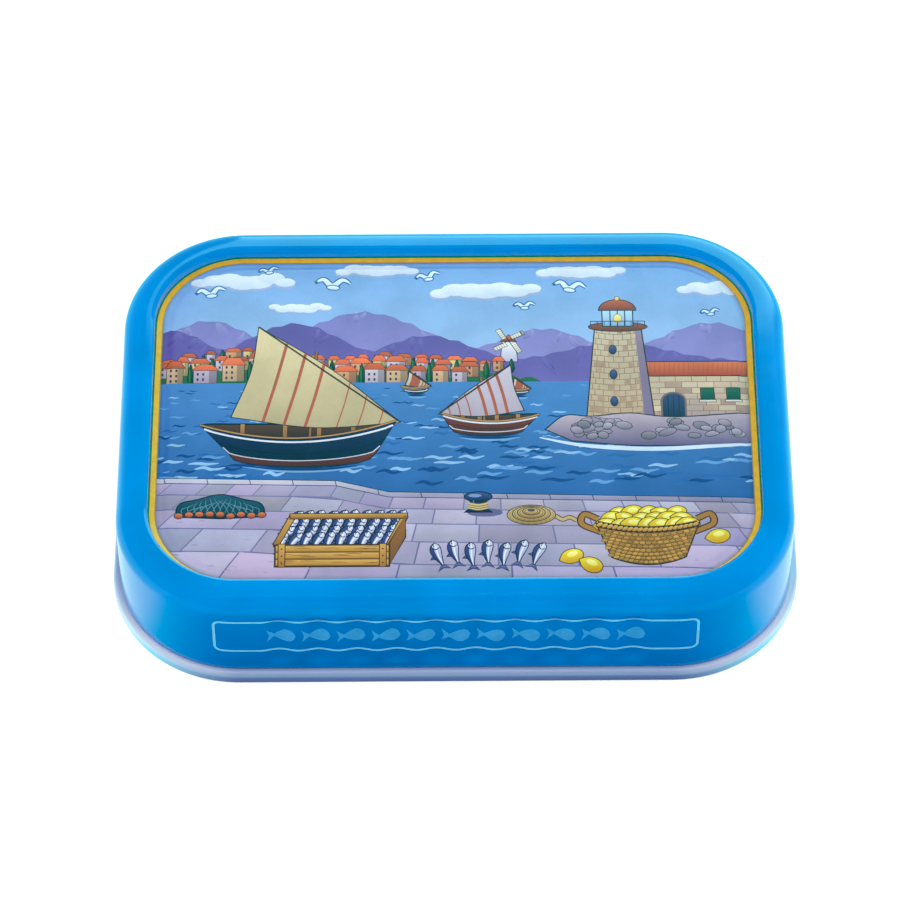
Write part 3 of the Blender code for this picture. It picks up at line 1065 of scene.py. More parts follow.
def draw_quay(sheet, rng):
    """Large paving blocks that widen towards the viewer, lit unevenly, with a dark coping edge."""
    edge = np.array(((-50, -12.6), (-18, -13.4), (-10, -15.6), (50, -17.2)))
    sheet.add(np.vstack([edge, (50, -35), (-50, -35)]), (134, 120, 160), (150, 138, 176))
    rows = (0.0, 2.2, 5.0, 8.4, 12.6, 18.0)
    vanish = np.array((6.0, 34.0))
    for row, (near, far) in enumerate(zip(rows[1:], rows)):
        x = -64.0 + rng.uniform(0, 4)
        while x < 64.0:
            width = (5.0 + row * 1.5) * rng.uniform(0.85, 1.25)
            block = []
            left, right = x + 0.1, x + width - 0.1
            for side, depth in ((left, far), (right, far), (right, near), (left, near)):
                level = np.interp(side, edge[:, 0], edge[:, 1]) - depth - (0.1 if depth == far else -0.1)
                spread = (vanish[1] - level) / (vanish[1] + 14.0)
                block.append((vanish[0] + (side - vanish[0]) * spread, level))
            tone = QUAY * rng.uniform(0.88, 1.05) + rng.uniform(-5, 5, 3)
            sheet.add(block, tone * 0.93, tone)
            x += width
    for _ in range(90):
        x, y = rng.uniform(-44, 44), rng.uniform(-30, -17)
        start, stop = np.array(((x, y), (x + rng.uniform(0.4, 1.4), y + rng.uniform(-0.1, 0.1))))
        speck = curve((start, (start + stop) / 2 + (0, 0.1), stop), 3)
        sheet.pen(speck, rng.uniform(0.1, 0.25), (188, 172, 194))
    sheet.drawn(np.vstack([edge, edge[::-1] + (0.0, 0.85)]), (150, 138, 172), (228, 218, 228), 0.12)
    for place in np.arange(-44, 46, 6.5):
        level = np.interp(place, edge[:, 0], edge[:, 1])
        sheet.add(ribbon(((place, level), (place - 0.2, level + 0.85)), 0.07), (92, 82, 118))


def draw_fish(sheet, x, y, length, angle):
    """A sardine: pale belly, dark blue back, forked tail, fins, gill arc and a round eye."""
    t = np.linspace(0.0, 1.0, 11)
    half = 0.27 * length * np.sin(np.pi * t**0.75) ** 0.75 * (1.0 - 0.55 * t) + 0.02 * length
    spine = np.c_[length * (0.42 - 0.8 * t), 0.05 * length * np.sin(np.pi * t)]

    def laid(points):
        return turned(points, angle) + (x, y)

    tail = np.array(((-0.34, 0.0), (-0.56, 0.2), (-0.48, 0.02), (-0.56, -0.17))) * length
    fin = np.array(((0.06, 0.1), (-0.1, 0.27), (-0.14, 0.08))) * length
    sheet.drawn(laid(tail), (96, 90, 150), (140, 134, 186), 0.12)
    sheet.drawn(laid(fin), (96, 90, 150), (120, 114, 170), 0.1)
    sheet.drawn(laid(leaf(spine, half * 0.62)), (176, 170, 210), (226, 222, 240), 0.14)
    back = np.vstack([lifted(spine, half * 0.62), lifted(spine, half * 0.12)[::-1]])
    sheet.add(laid(back), (66, 64, 122), (92, 90, 152))
    sheet.add(laid(stroke(lifted(spine, -half * 0.15), 0.05 * length)), (244, 242, 252))
    sheet.pen(laid(curve(((0.25, 0.11), (0.2, 0.0), (0.25, -0.11)), 4) * length), 0.035 * length)
    sheet.add(laid(oval(0.32, 0.045, 0.045, 0.045, 10) * length), (250, 246, 236))
    sheet.add(laid(oval(0.325, 0.045, 0.025, 0.025, 8) * length), INK)


def draw_crate(sheet, rng, x, y, width, depth, height):
    """An open plank crate seen from above, packed with rows of sardines."""
    board = (170, 118, 58), (222, 172, 92)
    lean = 0.45 * depth
    top = np.array(((0, height), (width, height), (width + lean, height + depth), (lean, height + depth)))
    sheet.drawn(top + (x, y), (70, 50, 60), (104, 78, 82), 0.3, WOOD_INK)
    for share in (0.82, 0.56, 0.3, 0.06):
        for place in np.arange(0.9, width - 0.2, 1.75):
            spot = (x + place + lean * share, y + height + depth * (share + 0.06))
            draw_fish(sheet, *spot, 4.6, 1.15 + rng.uniform(-0.22, 0.22))
    for edge in (top[1:3], top[[0, 3]]):
        sheet.drawn(ribbon(edge + (x, y), 0.4), (176, 122, 58), (226, 178, 98), 0.16, WOOD_INK)
    left, low = x + lean, y + height + depth
    sheet.drawn(box(left - 0.3, low - 0.35, left + width + 0.3, low + 0.5), *board, 0.16, WOOD_INK)
    back = width + lean
    end = np.array(((width, 0), (back, depth), (back, height + depth), (width, height))) + (x, y)
    sheet.drawn(end, (142, 94, 46), (176, 122, 60), 0.2, WOOD_INK)
    sheet.drawn(box(x, y, x + width, y + height), (120, 76, 36), (150, 100, 52), 0.22, WOOD_INK)
    planks = np.linspace(0.0, height, 4)
    for low, high in zip(planks, planks[1:]):
        plank = box(x + 0.05, y + low + 0.16, x + width - 0.05, y + high - 0.1)
        sheet.add(plank, (198, 146, 66), (232, 184, 100))
        for _ in range(7):
            a = x + rng.uniform(0.3, width - 3.0)
            level = y + rng.uniform(low + 0.4, high - 0.3)
            sheet.pen(curve(((a, level), (a + 1.2, level + 0.1), (a + 2.6, level)), 3), 0.1, (150, 100, 48))
    for post in (x + 0.9, x + width - 0.9):
        batten = box(post - 0.45, y - 0.1, post + 0.45, y + height + 0.2)
        sheet.drawn(batten, (180, 126, 58), (226, 176, 94), 0.14, WOOD_INK)
        for nail in planks[:-1] + 0.6:
            sheet.add(oval(post, y + nail, 0.14, 0.14, 8), INK)


def draw_lemon(sheet, x, y, size, angle):
    """A lemon: an oval with a nipple at one end, a shaded foot and a lit shoulder."""
    a = np.linspace(0.0, 2 * np.pi, 22, endpoint=False)
    reach = 1.0 + 0.2 * np.exp(-((a - np.pi) / 0.28) ** 2)
    rind = turned(np.c_[size * np.cos(a) * reach, size * 0.74 * np.sin(a)], angle) + (x, y)
    sheet.drawn(rind, (222, 170, 30), LEMON, 0.15, (92, 68, 24))
    lit = oval(x + 0.02 * size, y + 0.24 * size, size * 0.52, size * 0.3, 12, angle)
    sheet.add(lit, (252, 232, 90), (255, 250, 176))


def draw_basket(sheet, rng, x, y, half_width, height):
    """A round wicker basket, woven in staggered rows, heaped with lemons."""
    loop = curve(((0.92, 0.75), (1.3, 1.0), (1.25, 1.3), (0.98, 1.15)), 6) * (half_width, height)
    for side in (-1.0, 1.0):
        sheet.cord(loop * (side, 1.0) + (x, y), 0.62, 0.4, (190, 138, 66))
    t = np.linspace(-1.0, 1.0, 21)
    rim = np.c_[x + half_width * t, y + height - 0.18 * height * (1 - t**2)]
    foot = np.c_[x + half_width * 0.72 * t, y - 0.22 * height * (1 - t**2)]
    mouth = oval(x, y + height, half_width, half_width * 0.3, 36)
    sheet.drawn(mouth, (96, 60, 34), (130, 84, 46), 0.25, WOOD_INK)
    for up, count in ((1.35, 5), (0.62, 6), (-0.1, 7)):
        for across in np.linspace(-1, 1, count) * half_width * (0.8 - 0.16 * up):
            size = half_width * rng.uniform(0.155, 0.185)
            level = y + height + up * size * 1.25 + rng.uniform(-0.15, 0.15)
            draw_lemon(sheet, x + across, level, size * 1.25, rng.uniform(-0.7, 0.7))
    sheet.drawn(np.vstack([foot, rim[::-1]]), (150, 98, 40), (206, 152, 70), 0.24, WOOD_INK)
    rows, count = 9, 15
    for row in range(rows):
        share = (row + 0.5) / rows
        line = foot * (1 - share) + rim * share
        places = (np.arange(count) + (0.5 if row % 2 else 0.0)) / count
        for place in places[places <= 0.98]:
            spot = [np.interp(place, (t + 1) / 2, line[:, axis]) for axis in (0, 1)]
            tone = WICKER * rng.uniform(0.86, 1.12)
            osier = oval(*spot, half_width * 0.062, height * 0.046, 8)
            sheet.drawn(osier, tone * 0.82, tone, 0.07, WOOD_INK)
    sheet.add(ribbon(rim, 0.62), WOOD_INK)
    for a, b in zip(rim, rim[1:]):
        sheet.drawn(oval(*((a + b) / 2), 0.52, 0.3, 10, 0.6), (196, 144, 64), (240, 196, 110), 0.06, WOOD_INK)


def draw_rope(sheet, x, y, turns, radius):
    """A flat coil of rope: rings of rope with slanting lay marks, and a loose end."""
    tail = curve(((radius, -0.2), (radius * 1.3, -0.9), (radius * 1.6, -0.5), (radius * 1.9, -1.1)), 6)
    sheet.cord(tail + (x, y), 0.42, 0.27, (214, 186, 134))
    for ring in range(turns):
        size = radius * (1.0 - ring / (turns + 0.6))
        level = y + 0.22 * ring
        sheet.drawn(oval(x, level, size, size * 0.5, 32), (180, 146, 92), (230, 204, 150), 0.14, WOOD_INK)
        for a in np.linspace(0.0, 2 * np.pi, 22, endpoint=False):
            spot = (x + (size - 0.25) * np.cos(a), level + (size - 0.25) * 0.5 * np.sin(a))
            mark = turned(((-0.2, -0.12), (0.0, 0.05), (0.2, 0.12)), a + 0.9) + spot
            sheet.pen(mark, 0.09, (138, 102, 60))
    sheet.add(oval(x, y + 0.22 * turns, radius * 0.16, radius * 0.08, 16), (110, 90, 110))


def draw_bollard(sheet, x, y, size):
    """A cast mooring post with a mushroom head, a lit flank and a rope thrown over it."""
    sheet.add(oval(x + 0.5 * size, y - 0.05 * size, 1.35 * size, 0.4 * size, 24), (128, 114, 158))
    flank = curve(((-0.95, 0.0), (-0.62, 0.35), (-0.56, 1.3)), 5)
    stem = np.vstack([flank, flank[::-1] * (-1.0, 1.0)])
    sheet.drawn(stem * size + (x, y), (30, 34, 64), (62, 70, 118), 0.2)
    sheet.drawn(oval(x, y + 1.45 * size, size, 0.42 * size, 24), (34, 40, 78), (92, 104, 158), 0.2)
    sheet.add(oval(x - 0.25 * size, y + 1.56 * size, 0.5 * size, 0.16 * size, 14), (150, 162, 206))
    glint = np.array(((-0.42, 0.25), (-0.38, 0.7), (-0.36, 1.1))) * size + (x, y)
    sheet.add(stroke(glint, 0.2 * size), (120, 132, 186))
    loop = curve(((-0.72, 0.42), (0.0, 0.26), (0.72, 0.42)), 6)
    for lift in (0.0, 0.2, 0.4):
        sheet.cord((loop + (0.0, lift)) * size + (x, y), 0.3, 0.19, (222, 194, 140))


def draw_net(sheet, rng, x, y, width, height):
    """A heap of dark net with cork floats along its edge."""
    a = np.linspace(0.0, np.pi, 26)
    heap = np.c_[width * np.cos(a), height * np.sin(a) ** 0.8 * (1.0 + 0.1 * np.sin(5 * a))]
    heap = np.vstack([heap, ((-width * 0.9, -0.8), (0.0, -1.1), (width * 0.9, -0.8))]) + (x, y)
    sheet.drawn(heap, (34, 66, 84), (64, 108, 128), 0.2)
    for share in np.linspace(-0.85, 0.85, 12):
        foot, top = share * width, height * (1.0 - abs(share)) ** 0.5
        for lean in (-1.0, 1.0):
            middle = (foot * 0.9 + lean * 0.8, top * 0.5)
            strand = curve(((foot, -0.7), middle, (foot * 0.6 + lean * 1.3, top * 0.92)), 4)
            sheet.add(stroke(strand + (x, y), 0.12), (120, 160, 170))
    for place in np.linspace(-0.95, 0.95, 9):
        cork = oval(x + place * width, y - 0.5 + rng.uniform(-0.25, 0.25), 0.62, 0.5, 12)
        sheet.drawn(cork, (176, 70, 44), (240, 150, 96), 0.13)


def draw_picture(rng):
    """A fishing harbour: town and hills, a stone lighthouse, boats, and the catch on the quay."""
    sheet = Print()
    sheet.add(panel_outline(), (150, 140, 160))
    draw_sky(sheet, rng)
    draw_hills(sheet, rng)
    draw_windmill(sheet, 8.5, 10.6)
    draw_town(sheet, rng)
    draw_sea(sheet, rng)
    for gull in GULLS:
        draw_gull(sheet, *gull)
    draw_store(sheet, rng, 29.0, -0.6, 17.5, 8.2)
    draw_lighthouse(sheet, rng, 25.5, -1.6, 19.0)
    draw_rocks(sheet, rng)
    for x, y, size in FAR_BOATS:
        draw_boat(sheet, x, y, size * 2.0, size * 0.36, np.array((96, 60, 60)), (240, 226, 206))
    draw_boat(sheet, 5.5, -2.5, 15.0, 2.6, np.array((120, 52, 48)), (232, 214, 226), -1.0)
    draw_boat(sheet, -24.0, -7.0, 30.0, 5.4, NAVY, (244, 222, 178))
    draw_quay(sheet, rng)
    draw_bollard(sheet, 3.5, -18.6, 2.0)
    draw_rope(sheet, 11.5, -19.2, 4, 3.6)
    draw_net(sheet, rng, -35.5, -18.4, 6.6, 3.0)
    draw_crate(sheet, rng, -27.0, -28.6, 17.0, 5.4, 3.9)
    draw_basket(sheet, rng, 29.0, -27.2, 7.6, 6.2)
    for x, y, turn in LOOSE_LEMONS:
        draw_lemon(sheet, x, y, 1.7, turn)
    for k, x in enumerate(np.linspace(-2.5, 12.5, 7)):
        draw_fish(sheet, x, -26.6 + 0.5 * (k % 2), 5.2, 1.9 - 0.12 * k)
    return sheet


def draw_side_figures(sheet):
    """A row of little fish swimming one way, in place of words."""
    t = np.linspace(0.0, 1.0, 12)
    body = leaf(np.c_[2.2 - 3.5 * t, np.zeros(12)], 1.75 * np.sin(np.pi * t**0.8) ** 0.8 * (1.0 - 0.35 * t))
    tail = np.array(((-0.7, 0.0), (-2.2, 1.5), (-1.8, 0.0), (-2.2, -1.5)))
    for x in np.linspace(-26.2, 26.2, 11):
        sheet.add(body + (x, FRAME_MIDDLE), SIDE_TINT_KEY)
        sheet.add(tail + (x, FRAME_MIDDLE), SIDE_TINT_KEY)


# Pieces


class OBJECT_OT_tin_shell(bpy.types.Operator):
    """Make the lacquered shell, with its fluted walls, rounded rim and recess"""

    bl_idname = "object.tin_shell"
    bl_label = "Lacquered Shell"

    def execute(self, context):
        shape = context.scene.tin_shape
        floor = TIN_TOP - shape.panel_drop
        section = rounded_section((
            (FOOT_LIP, WALL_FOOT, 0.0),
            (0.0, WALL_FOOT, FOOT_RADIUS),
            (0.0, TIN_TOP, shape.wall_top_radius),
            (shape.rim_inset, TIN_TOP, shape.rim_edge_radius),
            (RECESS_FOOT, floor, RECESS_FOOT_RADIUS),
            (PANEL_EDGE, floor, 0.0),
        ))
        vertices, faces = grid_solid(carried_round(densify(section, SECTION_SPACING), fluted=True))
        shell = new_piece("lacquered_shell", vertices, faces, lacquer_finish(), "tin_body")
        # Where the lacquer gets painted light: down the recess wall, inwards of the rim's edge
        depth = smooth_step(TIN_TOP - vertices[:, 2], 0.15 * MM, 0.8 * MM)
        painted_light_zone = wall_inset(vertices) > shape.rim_inset - 1.1 * shape.rim_edge_radius
        mark_points(shell, "recess", depth * painted_light_zone)
        return {"FINISHED"}


class OBJECT_OT_tin_lines(bpy.types.Operator):
    """Make the printed gold, green and brown lines round the recess"""

    bl_idname = "object.tin_lines"
    bl_label = "Printed Lines"

    def execute(self, context):
        colours = context.scene.tin_colours
        floor = TIN_TOP - context.scene.tin_shape.panel_drop
        low = floor - PRINT_LIFT
        # Each line slopes from its crest at the recess wall down to the panel, so the green one shows
        # outside the gold one, which shows outside the brown one
        for name, outer, inner, rise, colour, metallic in (
            ("overprint_line", -0.08 * MM, 0.3 * MM, 0.3 * MM, colours.overprint, 0.0),
            ("gold_line", -0.03 * MM, 0.98 * MM, 0.16 * MM, colours.gold, 0.05),
            ("brown_keyline", 0.96 * MM, 1.12 * MM, 2.0 * PRINT_LIFT, colours.keyline, 0.0),
        ):
            start, stop = RECESS_FOOT + outer, RECESS_FOOT + inner
            section = np.array((
                (start, low), (start, floor + rise), (start + 0.08 * MM, floor + rise),
                (stop, floor + 1.5 * PRINT_LIFT), (stop, low),
            ))
            vertices, faces = grid_solid(carried_round(section), closed_tube=True)
            new_piece(name, vertices, faces, ink_finish(name, colour, metallic))
        return {"FINISHED"}


class OBJECT_OT_tin_picture(bpy.types.Operator):
    """Make the printed picture plate, with the low step round it"""

    bl_idname = "object.tin_picture"
    bl_label = "Printed Picture"

    def execute(self, context):
        shape = context.scene.tin_shape
        floor = TIN_TOP - shape.panel_drop

        def place(points, front):
            low, high = shape.step_inset - 0.5 * MM, shape.step_inset + 0.7 * MM
            rise = shape.step_rise * smooth_step(wall_inset(points * MM), low, high)
            height = floor + (PANEL_LIFT + rise if front else np.full(len(points), 0.2 * PANEL_LIFT))
            return np.c_[points * MM, height]

        # Painted shade: the inks are darkened towards the picture's edge, at the foot of the recess wall
        def shade(points):
            return 0.66 + 0.34 * smooth_step(wall_inset(points * MM), 6.0 * MM, 6.95 * MM)

        rings = [panel_outline(inset, 40) for inset in np.linspace(6.3, 7.9, 9)]
        sheet = draw_picture(np.random.default_rng(11))
        piece, points, triangles = printed_plate(
            "picture_panel", sheet, picture_finish(), place, rings, flat_back=True, shade=shade
        )
        spread = np.zeros((len(piece.data.loops), 2))
        half = np.abs(panel_outline()).max(axis=0)
        spread[: triangles.size] = points[triangles.ravel()] / half * 0.499 + 0.5
        piece.data.uv_layers.new(name="OFBake").data.foreach_set("uv", spread.ravel())
        return {"FINISHED"}


class OBJECT_OT_tin_side_prints(bpy.types.Operator):
    """Make the pale frames and small figures printed on the long walls"""

    bl_idname = "object.tin_side_prints"
    bl_label = "Side Prints"

    def execute(self, context):
        colours = context.scene.tin_colours
        flutes = context.scene.tin_shape.long_wall_flutes
        low, high = FRAME_LOW - 1.0, FRAME_HIGH + 1.0
        line = Print()
        line.add(rounded_box(FRAME_HALF_LENGTH, FRAME_LOW, FRAME_HIGH, FRAME_CORNER), SIDE_LINE_KEY)
        line.add(rounded_box(
            FRAME_HALF_LENGTH - FRAME_LINE, FRAME_LOW + FRAME_LINE,
            FRAME_HIGH - FRAME_LINE, FRAME_CORNER - FRAME_LINE,
        ), None)
        figures = Print()
        figures.add(rounded_box(FRAME_HALF_LENGTH + 1.0, low, high, FRAME_CORNER), None)
        draw_side_figures(figures)
        # Extra cuts across the prints let them follow the flutes
        cuts = np.arange(-FRAME_HALF_LENGTH + 0.2, FRAME_HALF_LENGTH, GUIDE_SPACING)
        guides = [np.array(((x, low), (x, high))) for x in cuts]
        for side, turn in (("front", 1.0), ("back", -1.0)):

            def place(points, front, turn=turn):
                lift = SIDE_LIFT if front else -SIDE_LIFT
                return wall_place(points[:, 0] * MM, points[:, 1] * MM, lift, flutes) * (turn, turn, 1.0)

            line_ink = ink_finish(f"{side}_line_ink", colours.side_print)
            printed_plate(f"{side}_frame_line", line, line_ink, place, guides)
            tint_ink = ink_finish(f"{side}_tint_ink", colours.side_tint)
            printed_plate(f"{side}_figures", figures, tint_ink, place, guides)
        return {"FINISHED"}


class OBJECT_OT_tin_end(bpy.types.Operator):
    """Make the double seam and the opening end, with its beads and its score line"""

    bl_idname = "object.tin_end"
    bl_label = "Seamed End"

    def execute(self, context):
        colours = context.scene.tin_colours
        section = rounded_section((
            (SEAM_TOP_INNER, SEAM_HEIGHT, 0.0),
            (-SEAM_LEDGE, SEAM_HEIGHT, SEAM_SHOULDER_RADIUS),
            (-SEAM_LEDGE, 0.0, SEAM_FOOT_RADIUS),
            (0.0, 0.0, 0.2 * MM),
            (0.6 * MM, 0.5 * MM, 0.25 * MM),
            (0.9 * MM, END_SUNK, 0.3 * MM),
            (SCORE_INSET, END_SUNK, 0.0),
            (SCORE_INSET + SCORE_HALF_WIDTH, END_SUNK + SCORE_DEPTH, 0.0),
            (SCORE_INSET + 2.0 * SCORE_HALF_WIDTH, END_SUNK, 0.0),
        ), 8)
        across = np.linspace(0.0, 1.0, 13)
        hump = END_SUNK + BEAD_DEPTH * np.sin(np.pi * across) ** 2
        beads = [np.c_[inset + BEAD_WIDTH * across, hump] for inset in BEAD_INSETS]
        vertices, faces = grid_solid(carried_round(np.vstack([section, *beads])))
        finish = metal_finish("seam_metal", colours.seam_metal, colours.corner_highlight_metal, 0.3, 0.5)
        seam = new_piece("seam_and_end", vertices, faces, finish, "seamed_end")
        # The seam's corners take the paler colour: a painted highlight
        mark_points(seam, "bend", corner_share(vertices))
        return {"FINISHED"}


class OBJECT_OT_tin_pull_ring(bpy.types.Operator):
    """Make the pull ring with its rivet, flat under the end"""

    bl_idname = "object.tin_pull_ring"
    bl_label = "Pull Ring"

    def execute(self, context):
        colour = context.scene.tin_colours.ring_metal
        metal = metal_finish("ring_metal", colour, colour, 0.22, 1.0)
        length, width = (RING_HIGH - RING_LOW)[:2]
        middle = (RING_HIGH[0] + RING_LOW[0]) / 2.0
        level = float(RING_HIGH[2]) - RING_THICKNESS / 2.0
        around = np.linspace(0.0, 2.0 * np.pi, 96, endpoint=False)
        circle = np.c_[np.cos(around), np.sin(around)]
        outer = circle * (length, width) / 2.0 + (middle, 0.0)
        hole = np.array((length - RING_BAND - RING_NOSE, width - 2.0 * RING_BAND)) / 2.0
        inner = circle * hole + (middle + (RING_BAND - RING_NOSE) / 2.0, 0.0)
        section = np.linspace(0.0, 2.0 * np.pi, 20, endpoint=False)
        across, up = (np.sign(wave) * np.abs(wave) ** 0.6 for wave in (np.cos(section), np.sin(section)))
        flat = (outer + inner)[None] / 2.0 + (outer - inner)[None] / 2.0 * across[:, None, None]
        heights = level + RING_THICKNESS / 2.0 * up * (0.7 + 0.3 * across**2)
        vertices, faces = grid_solid(raised(flat, heights), closed_tube=True)
        new_piece("pull_ring_band", vertices, faces, metal, "pull_ring")
        radius = RIVET_RADIUS * np.array((1.0, 1.0, 0.92, 0.7, 0.4))
        pivot = np.array((middle + (length - RING_NOSE) / 2.0, 0.0))
        flat = pivot + circle[None, ::3] * radius[:, None, None]
        heights = level - RING_THICKNESS / 2.0 * np.array((0.4, 0.9, 1.0, 1.0, 1.0))
        heights = heights - RIVET_DROP * np.array((0.0, 0.0, 0.6, 0.95, 1.0))
        vertices, faces = grid_solid(raised(flat, heights), flip=True)
        new_piece("pull_ring_rivet", vertices, faces, metal)
        return {"FINISHED"}


# The stage

# Light of the room. Each pair is where a patch begins and where it is full, along an axis of the
# direction that is looked in, or along the line of sight for the dark patch round the camera.
ROOM_GLOW = (0.28, 0.33, 0.44)
CAMERA_DARK = (0.05, 0.05, 0.06)
CAMERA_PATCH = (0.966, 0.985)
SCREEN_GLOW = (1.2, 3.0, 2.7)
SCREEN_BACK = (0.6318, 0.6342)
SCREEN_LEFT = (-0.075, -0.05)
SCREEN_RIGHT = 0.8
SCREEN_RIGHT_FADE = 0.2
SCREEN_TOP = 0.773
SCREEN_TOP_FADE = 0.003

# Light of the second floor, which the camera doesn't see: its colours, and where each begins and is
# full, in metres. "Beside" is measured diagonally, and "away" from the tin's foot.
UNDER_WALL = (0.05, 0.06, 0.24)
UNDER_CORNER = (0.05, 0.95, 1.15)
NEAR_BESIDE = (0.75, 1.1, 1.2)
FAR_FRONT = (0.1, 0.85, 1.05)
FAR_BESIDE = (0.45, 1.1, 1.2)
CORNER_FROM = (-0.008, 0.025)
BESIDE_FROM = (0.014, 0.028)
BEHIND_FROM = (0.030, 0.045)
BEHIND_LOSS = 0.6
AWAY_FROM = (0.0, 0.03)
FLOOR_REACH = 6.0

# Name, size and place of each light in metres, and its power as a share of the key light's
LIGHTS = (
    ("key_light", 0.5, (0.0, -0.31, 0.85), 1.0),
    ("left_light", 0.25, (-0.75, -0.08, 0.11), 0.5),
    ("right_light", 0.25, (0.75, -0.08, 0.11), 0.35),
)


def soft_box(name, size, place, power):
    """A square area light that faces the tin, and isn't mirrored in it."""
    light = bpy.data.lights.new(name, "AREA")
    light.size = size
    light.energy = power
    lamp = bpy.data.objects.new(name, light)
    lamp.location = place
    lamp.rotation_euler = (-Vector(place)).to_track_quat("-Z", "Y").to_euler()
    lamp.visible_glossy = False
    bpy.context.scene.collection.objects.link(lamp)


def floor_plane(name, height, finish, in_view):
    """A large plane that only the camera sees, or that only lights the tin and is mirrored in it."""
    mesh = bpy.data.meshes.new(name)
    corners = [(*corner, height) for corner in box(-FLOOR_REACH, -FLOOR_REACH, FLOOR_REACH, FLOOR_REACH)]
    mesh.from_pydata(corners, [], [(0, 1, 2, 3)])
    mesh.materials.append(finish)
    floor = bpy.data.objects.new(name, mesh)
    floor.visible_camera = in_view
    floor.visible_diffuse = not in_view
    floor.visible_glossy = not in_view
    floor.visible_shadow = False
    bpy.context.scene.collection.objects.link(floor)


def bounce_finish():
    """Light from the floor: dark under the walls, so that they darken downwards, and bright beside the tin.

    The distance away from the tin is that to a rounded rectangle.
    """
    bounce = Finish("bounce_floor", Base_Color=(0.0, 0.0, 0.0), Specular_IOR_Level=0.0, Emission_Strength=1.0)
    x, y = bounce.axes(bounce.place(), "XY")
    radius = bpy.context.scene.tin_shape.corner_radius
    half_x, half_y = (float(half) - radius for half in WALL_HALF)
    out_x = x.math("MAXIMUM", x.size() - half_x, 0.0)
    out_y = y.math("MAXIMUM", y.size() - half_y, 0.0)
    square = out_x * out_x + out_y * out_y
    away = square.math("SQRT", square) - radius
    diagonal = x.size() + y
    beside = diagonal.between(*BESIDE_FROM) * (1.0 - y.between(*BEHIND_FROM) * BEHIND_LOSS)
    near = bounce.mixed(diagonal.between(*CORNER_FROM), UNDER_WALL, UNDER_CORNER)
    near = bounce.mixed(beside, near, NEAR_BESIDE)
    far = bounce.mixed(beside, FAR_FRONT, FAR_BESIDE)
    return bounce.wear(Emission_Color=bounce.mixed(away.between(*AWAY_FROM), near, far))


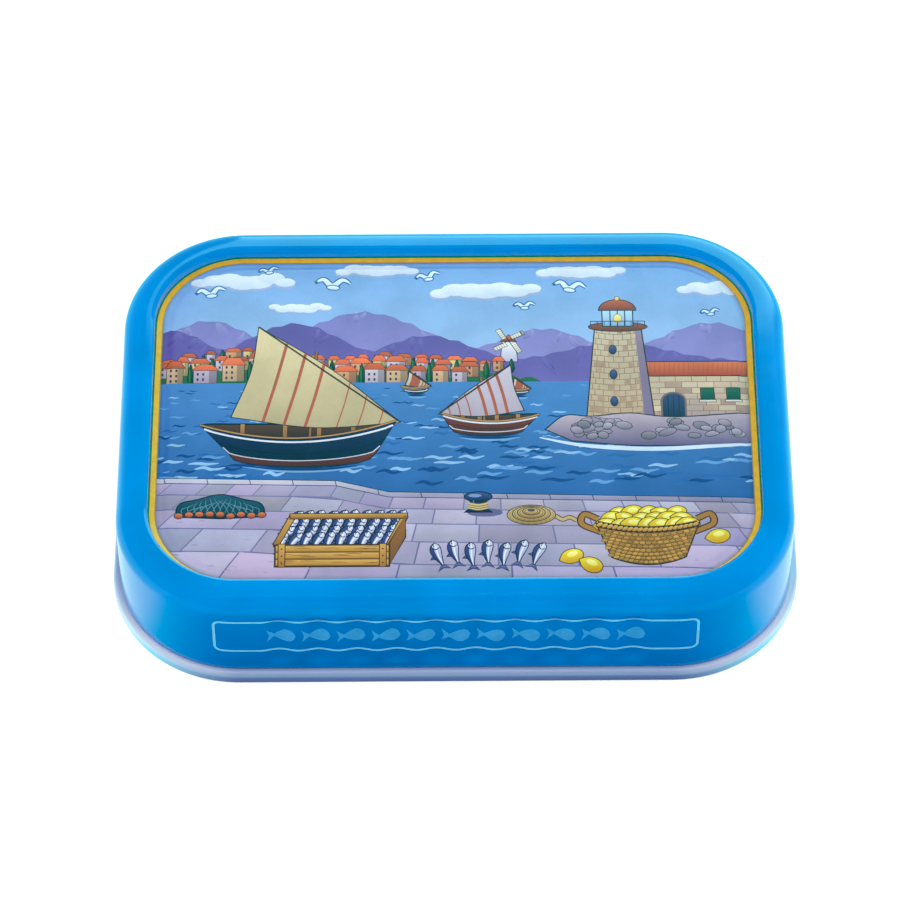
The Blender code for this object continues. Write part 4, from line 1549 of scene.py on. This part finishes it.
class OBJECT_OT_tin_stage(bpy.types.Operator):
    """Make the two floors, the room, the soft lights and the camera"""

    bl_idname = "object.tin_stage"
    bl_label = "Studio"

    def execute(self, context):
        scene, studio = context.scene, context.scene.tin_studio
        white = Finish("pale_floor", Roughness=0.9, Specular_IOR_Level=0.1)
        white.wear(Emission_Color=(1.0, 1.0, 1.0), Emission_Strength=0.45)
        white.wear(Base_Color=white.mixed(white.noise(40.0, 2.0), (0.9, 0.9, 0.9), (0.93, 0.93, 0.93)))
        floor_plane("pale_floor", 0.0, white.material, True)
        floor_plane("bounce_floor", -0.2 * MM, bounce_finish(), False)
        self.make_world(scene, studio)
        for name, size, place, share in LIGHTS:
            soft_box(name, size, place, share * studio.key_power)
        self.make_camera(scene, studio)
        scene.view_settings.view_transform = "Standard"
        scene.view_settings.use_curve_mapping = True
        scene.view_settings.curve_mapping.black_level = (0.02, 0.0, 0.0)
        return {"FINISHED"}

    def make_world(self, scene, studio):
        """A bluish room with a bright screen behind the tin and a dark patch where the camera stands."""
        world = bpy.data.worlds.new("studio_room")
        world.use_nodes = True
        room = Graph(world.node_tree)
        x, y, z = room.axes(room.node("ShaderNodeTexCoord", output="Generated"), "XYZ")
        right = (SCREEN_RIGHT - x).between(0.0, SCREEN_RIGHT_FADE)
        top = (SCREEN_TOP - z).between(-SCREEN_TOP_FADE, SCREEN_TOP_FADE)
        screen = y.between(*SCREEN_BACK) * x.between(*SCREEN_LEFT) * right * top
        facing = z * math.sin(studio.elevation) - y * math.cos(studio.elevation)
        walls = room.mixed(screen, ROOM_GLOW, SCREEN_GLOW)
        background = world.node_tree.nodes["Background"]
        room.feed(background.inputs["Color"], room.mixed(facing.between(*CAMERA_PATCH), walls, CAMERA_DARK))
        scene.world = world

    def make_camera(self, scene, studio):
        """A long lens that looks down on the tin's foot, with the picture shifted to the photo's frame."""
        camera = bpy.data.cameras.new("camera")
        camera.lens = studio.focal_length
        camera.sensor_width = 36.0
        camera.clip_start = 0.01
        camera.shift_x = -0.0059
        camera.shift_y = 0.0380
        eye = bpy.data.objects.new("camera", camera)
        flat = studio.distance * math.cos(studio.elevation)
        eye.location = (
            flat * math.sin(studio.azimuth),
            -flat * math.cos(studio.azimuth),
            studio.distance * math.sin(studio.elevation),
        )
        look = (-Vector(eye.location)).to_track_quat("-Z", "Y").to_matrix()
        eye.rotation_euler = (look @ Matrix.Rotation(studio.roll, 3, "Z")).to_euler()
        scene.collection.objects.link(eye)
        scene.camera = eye


class VIEW3D_PT_fish_tin(bpy.types.Panel):
    """Lists the tin's pieces and the sizes and colours they are made from"""

    bl_idname = "VIEW3D_PT_fish_tin"
    bl_label = "Fish Tin"
    bl_space_type = "VIEW_3D"
    bl_region_type = "UI"
    bl_category = "Fish Tin"

    def draw(self, context):
        layout = self.layout
        for operator in OPERATORS:
            layout.operator(operator.bl_idname)
        for group in (context.scene.tin_shape, context.scene.tin_colours, context.scene.tin_studio):
            column = layout.box().column()
            for name in group.__annotations__:
                column.prop(group, name)


GROUPS = (TinShape, TinColours, TinStudio)
OPERATORS = (
    OBJECT_OT_tin_shell,
    OBJECT_OT_tin_lines,
    OBJECT_OT_tin_picture,
    OBJECT_OT_tin_side_prints,
    OBJECT_OT_tin_end,
    OBJECT_OT_tin_pull_ring,
    OBJECT_OT_tin_stage,
)


def register():
    for item in GROUPS + OPERATORS + (VIEW3D_PT_fish_tin,):
        bpy.utils.register_class(item)
    bpy.types.Scene.tin_shape = bpy.props.PointerProperty(type=TinShape)
    bpy.types.Scene.tin_colours = bpy.props.PointerProperty(type=TinColours)
    bpy.types.Scene.tin_studio = bpy.props.PointerProperty(type=TinStudio)


def unregister():
    del bpy.types.Scene.tin_shape, bpy.types.Scene.tin_colours, bpy.types.Scene.tin_studio
    for item in reversed(GROUPS + OPERATORS + (VIEW3D_PT_fish_tin,)):
        bpy.utils.unregister_class(item)


def main():
    register()
    bpy.ops.object.tin_shell()
    bpy.ops.object.tin_lines()
    bpy.ops.object.tin_picture()
    bpy.ops.object.tin_side_prints()
    bpy.ops.object.tin_end()
    bpy.ops.object.tin_pull_ring()
    bpy.ops.object.tin_stage()


if __name__ == "__main__":
    main()
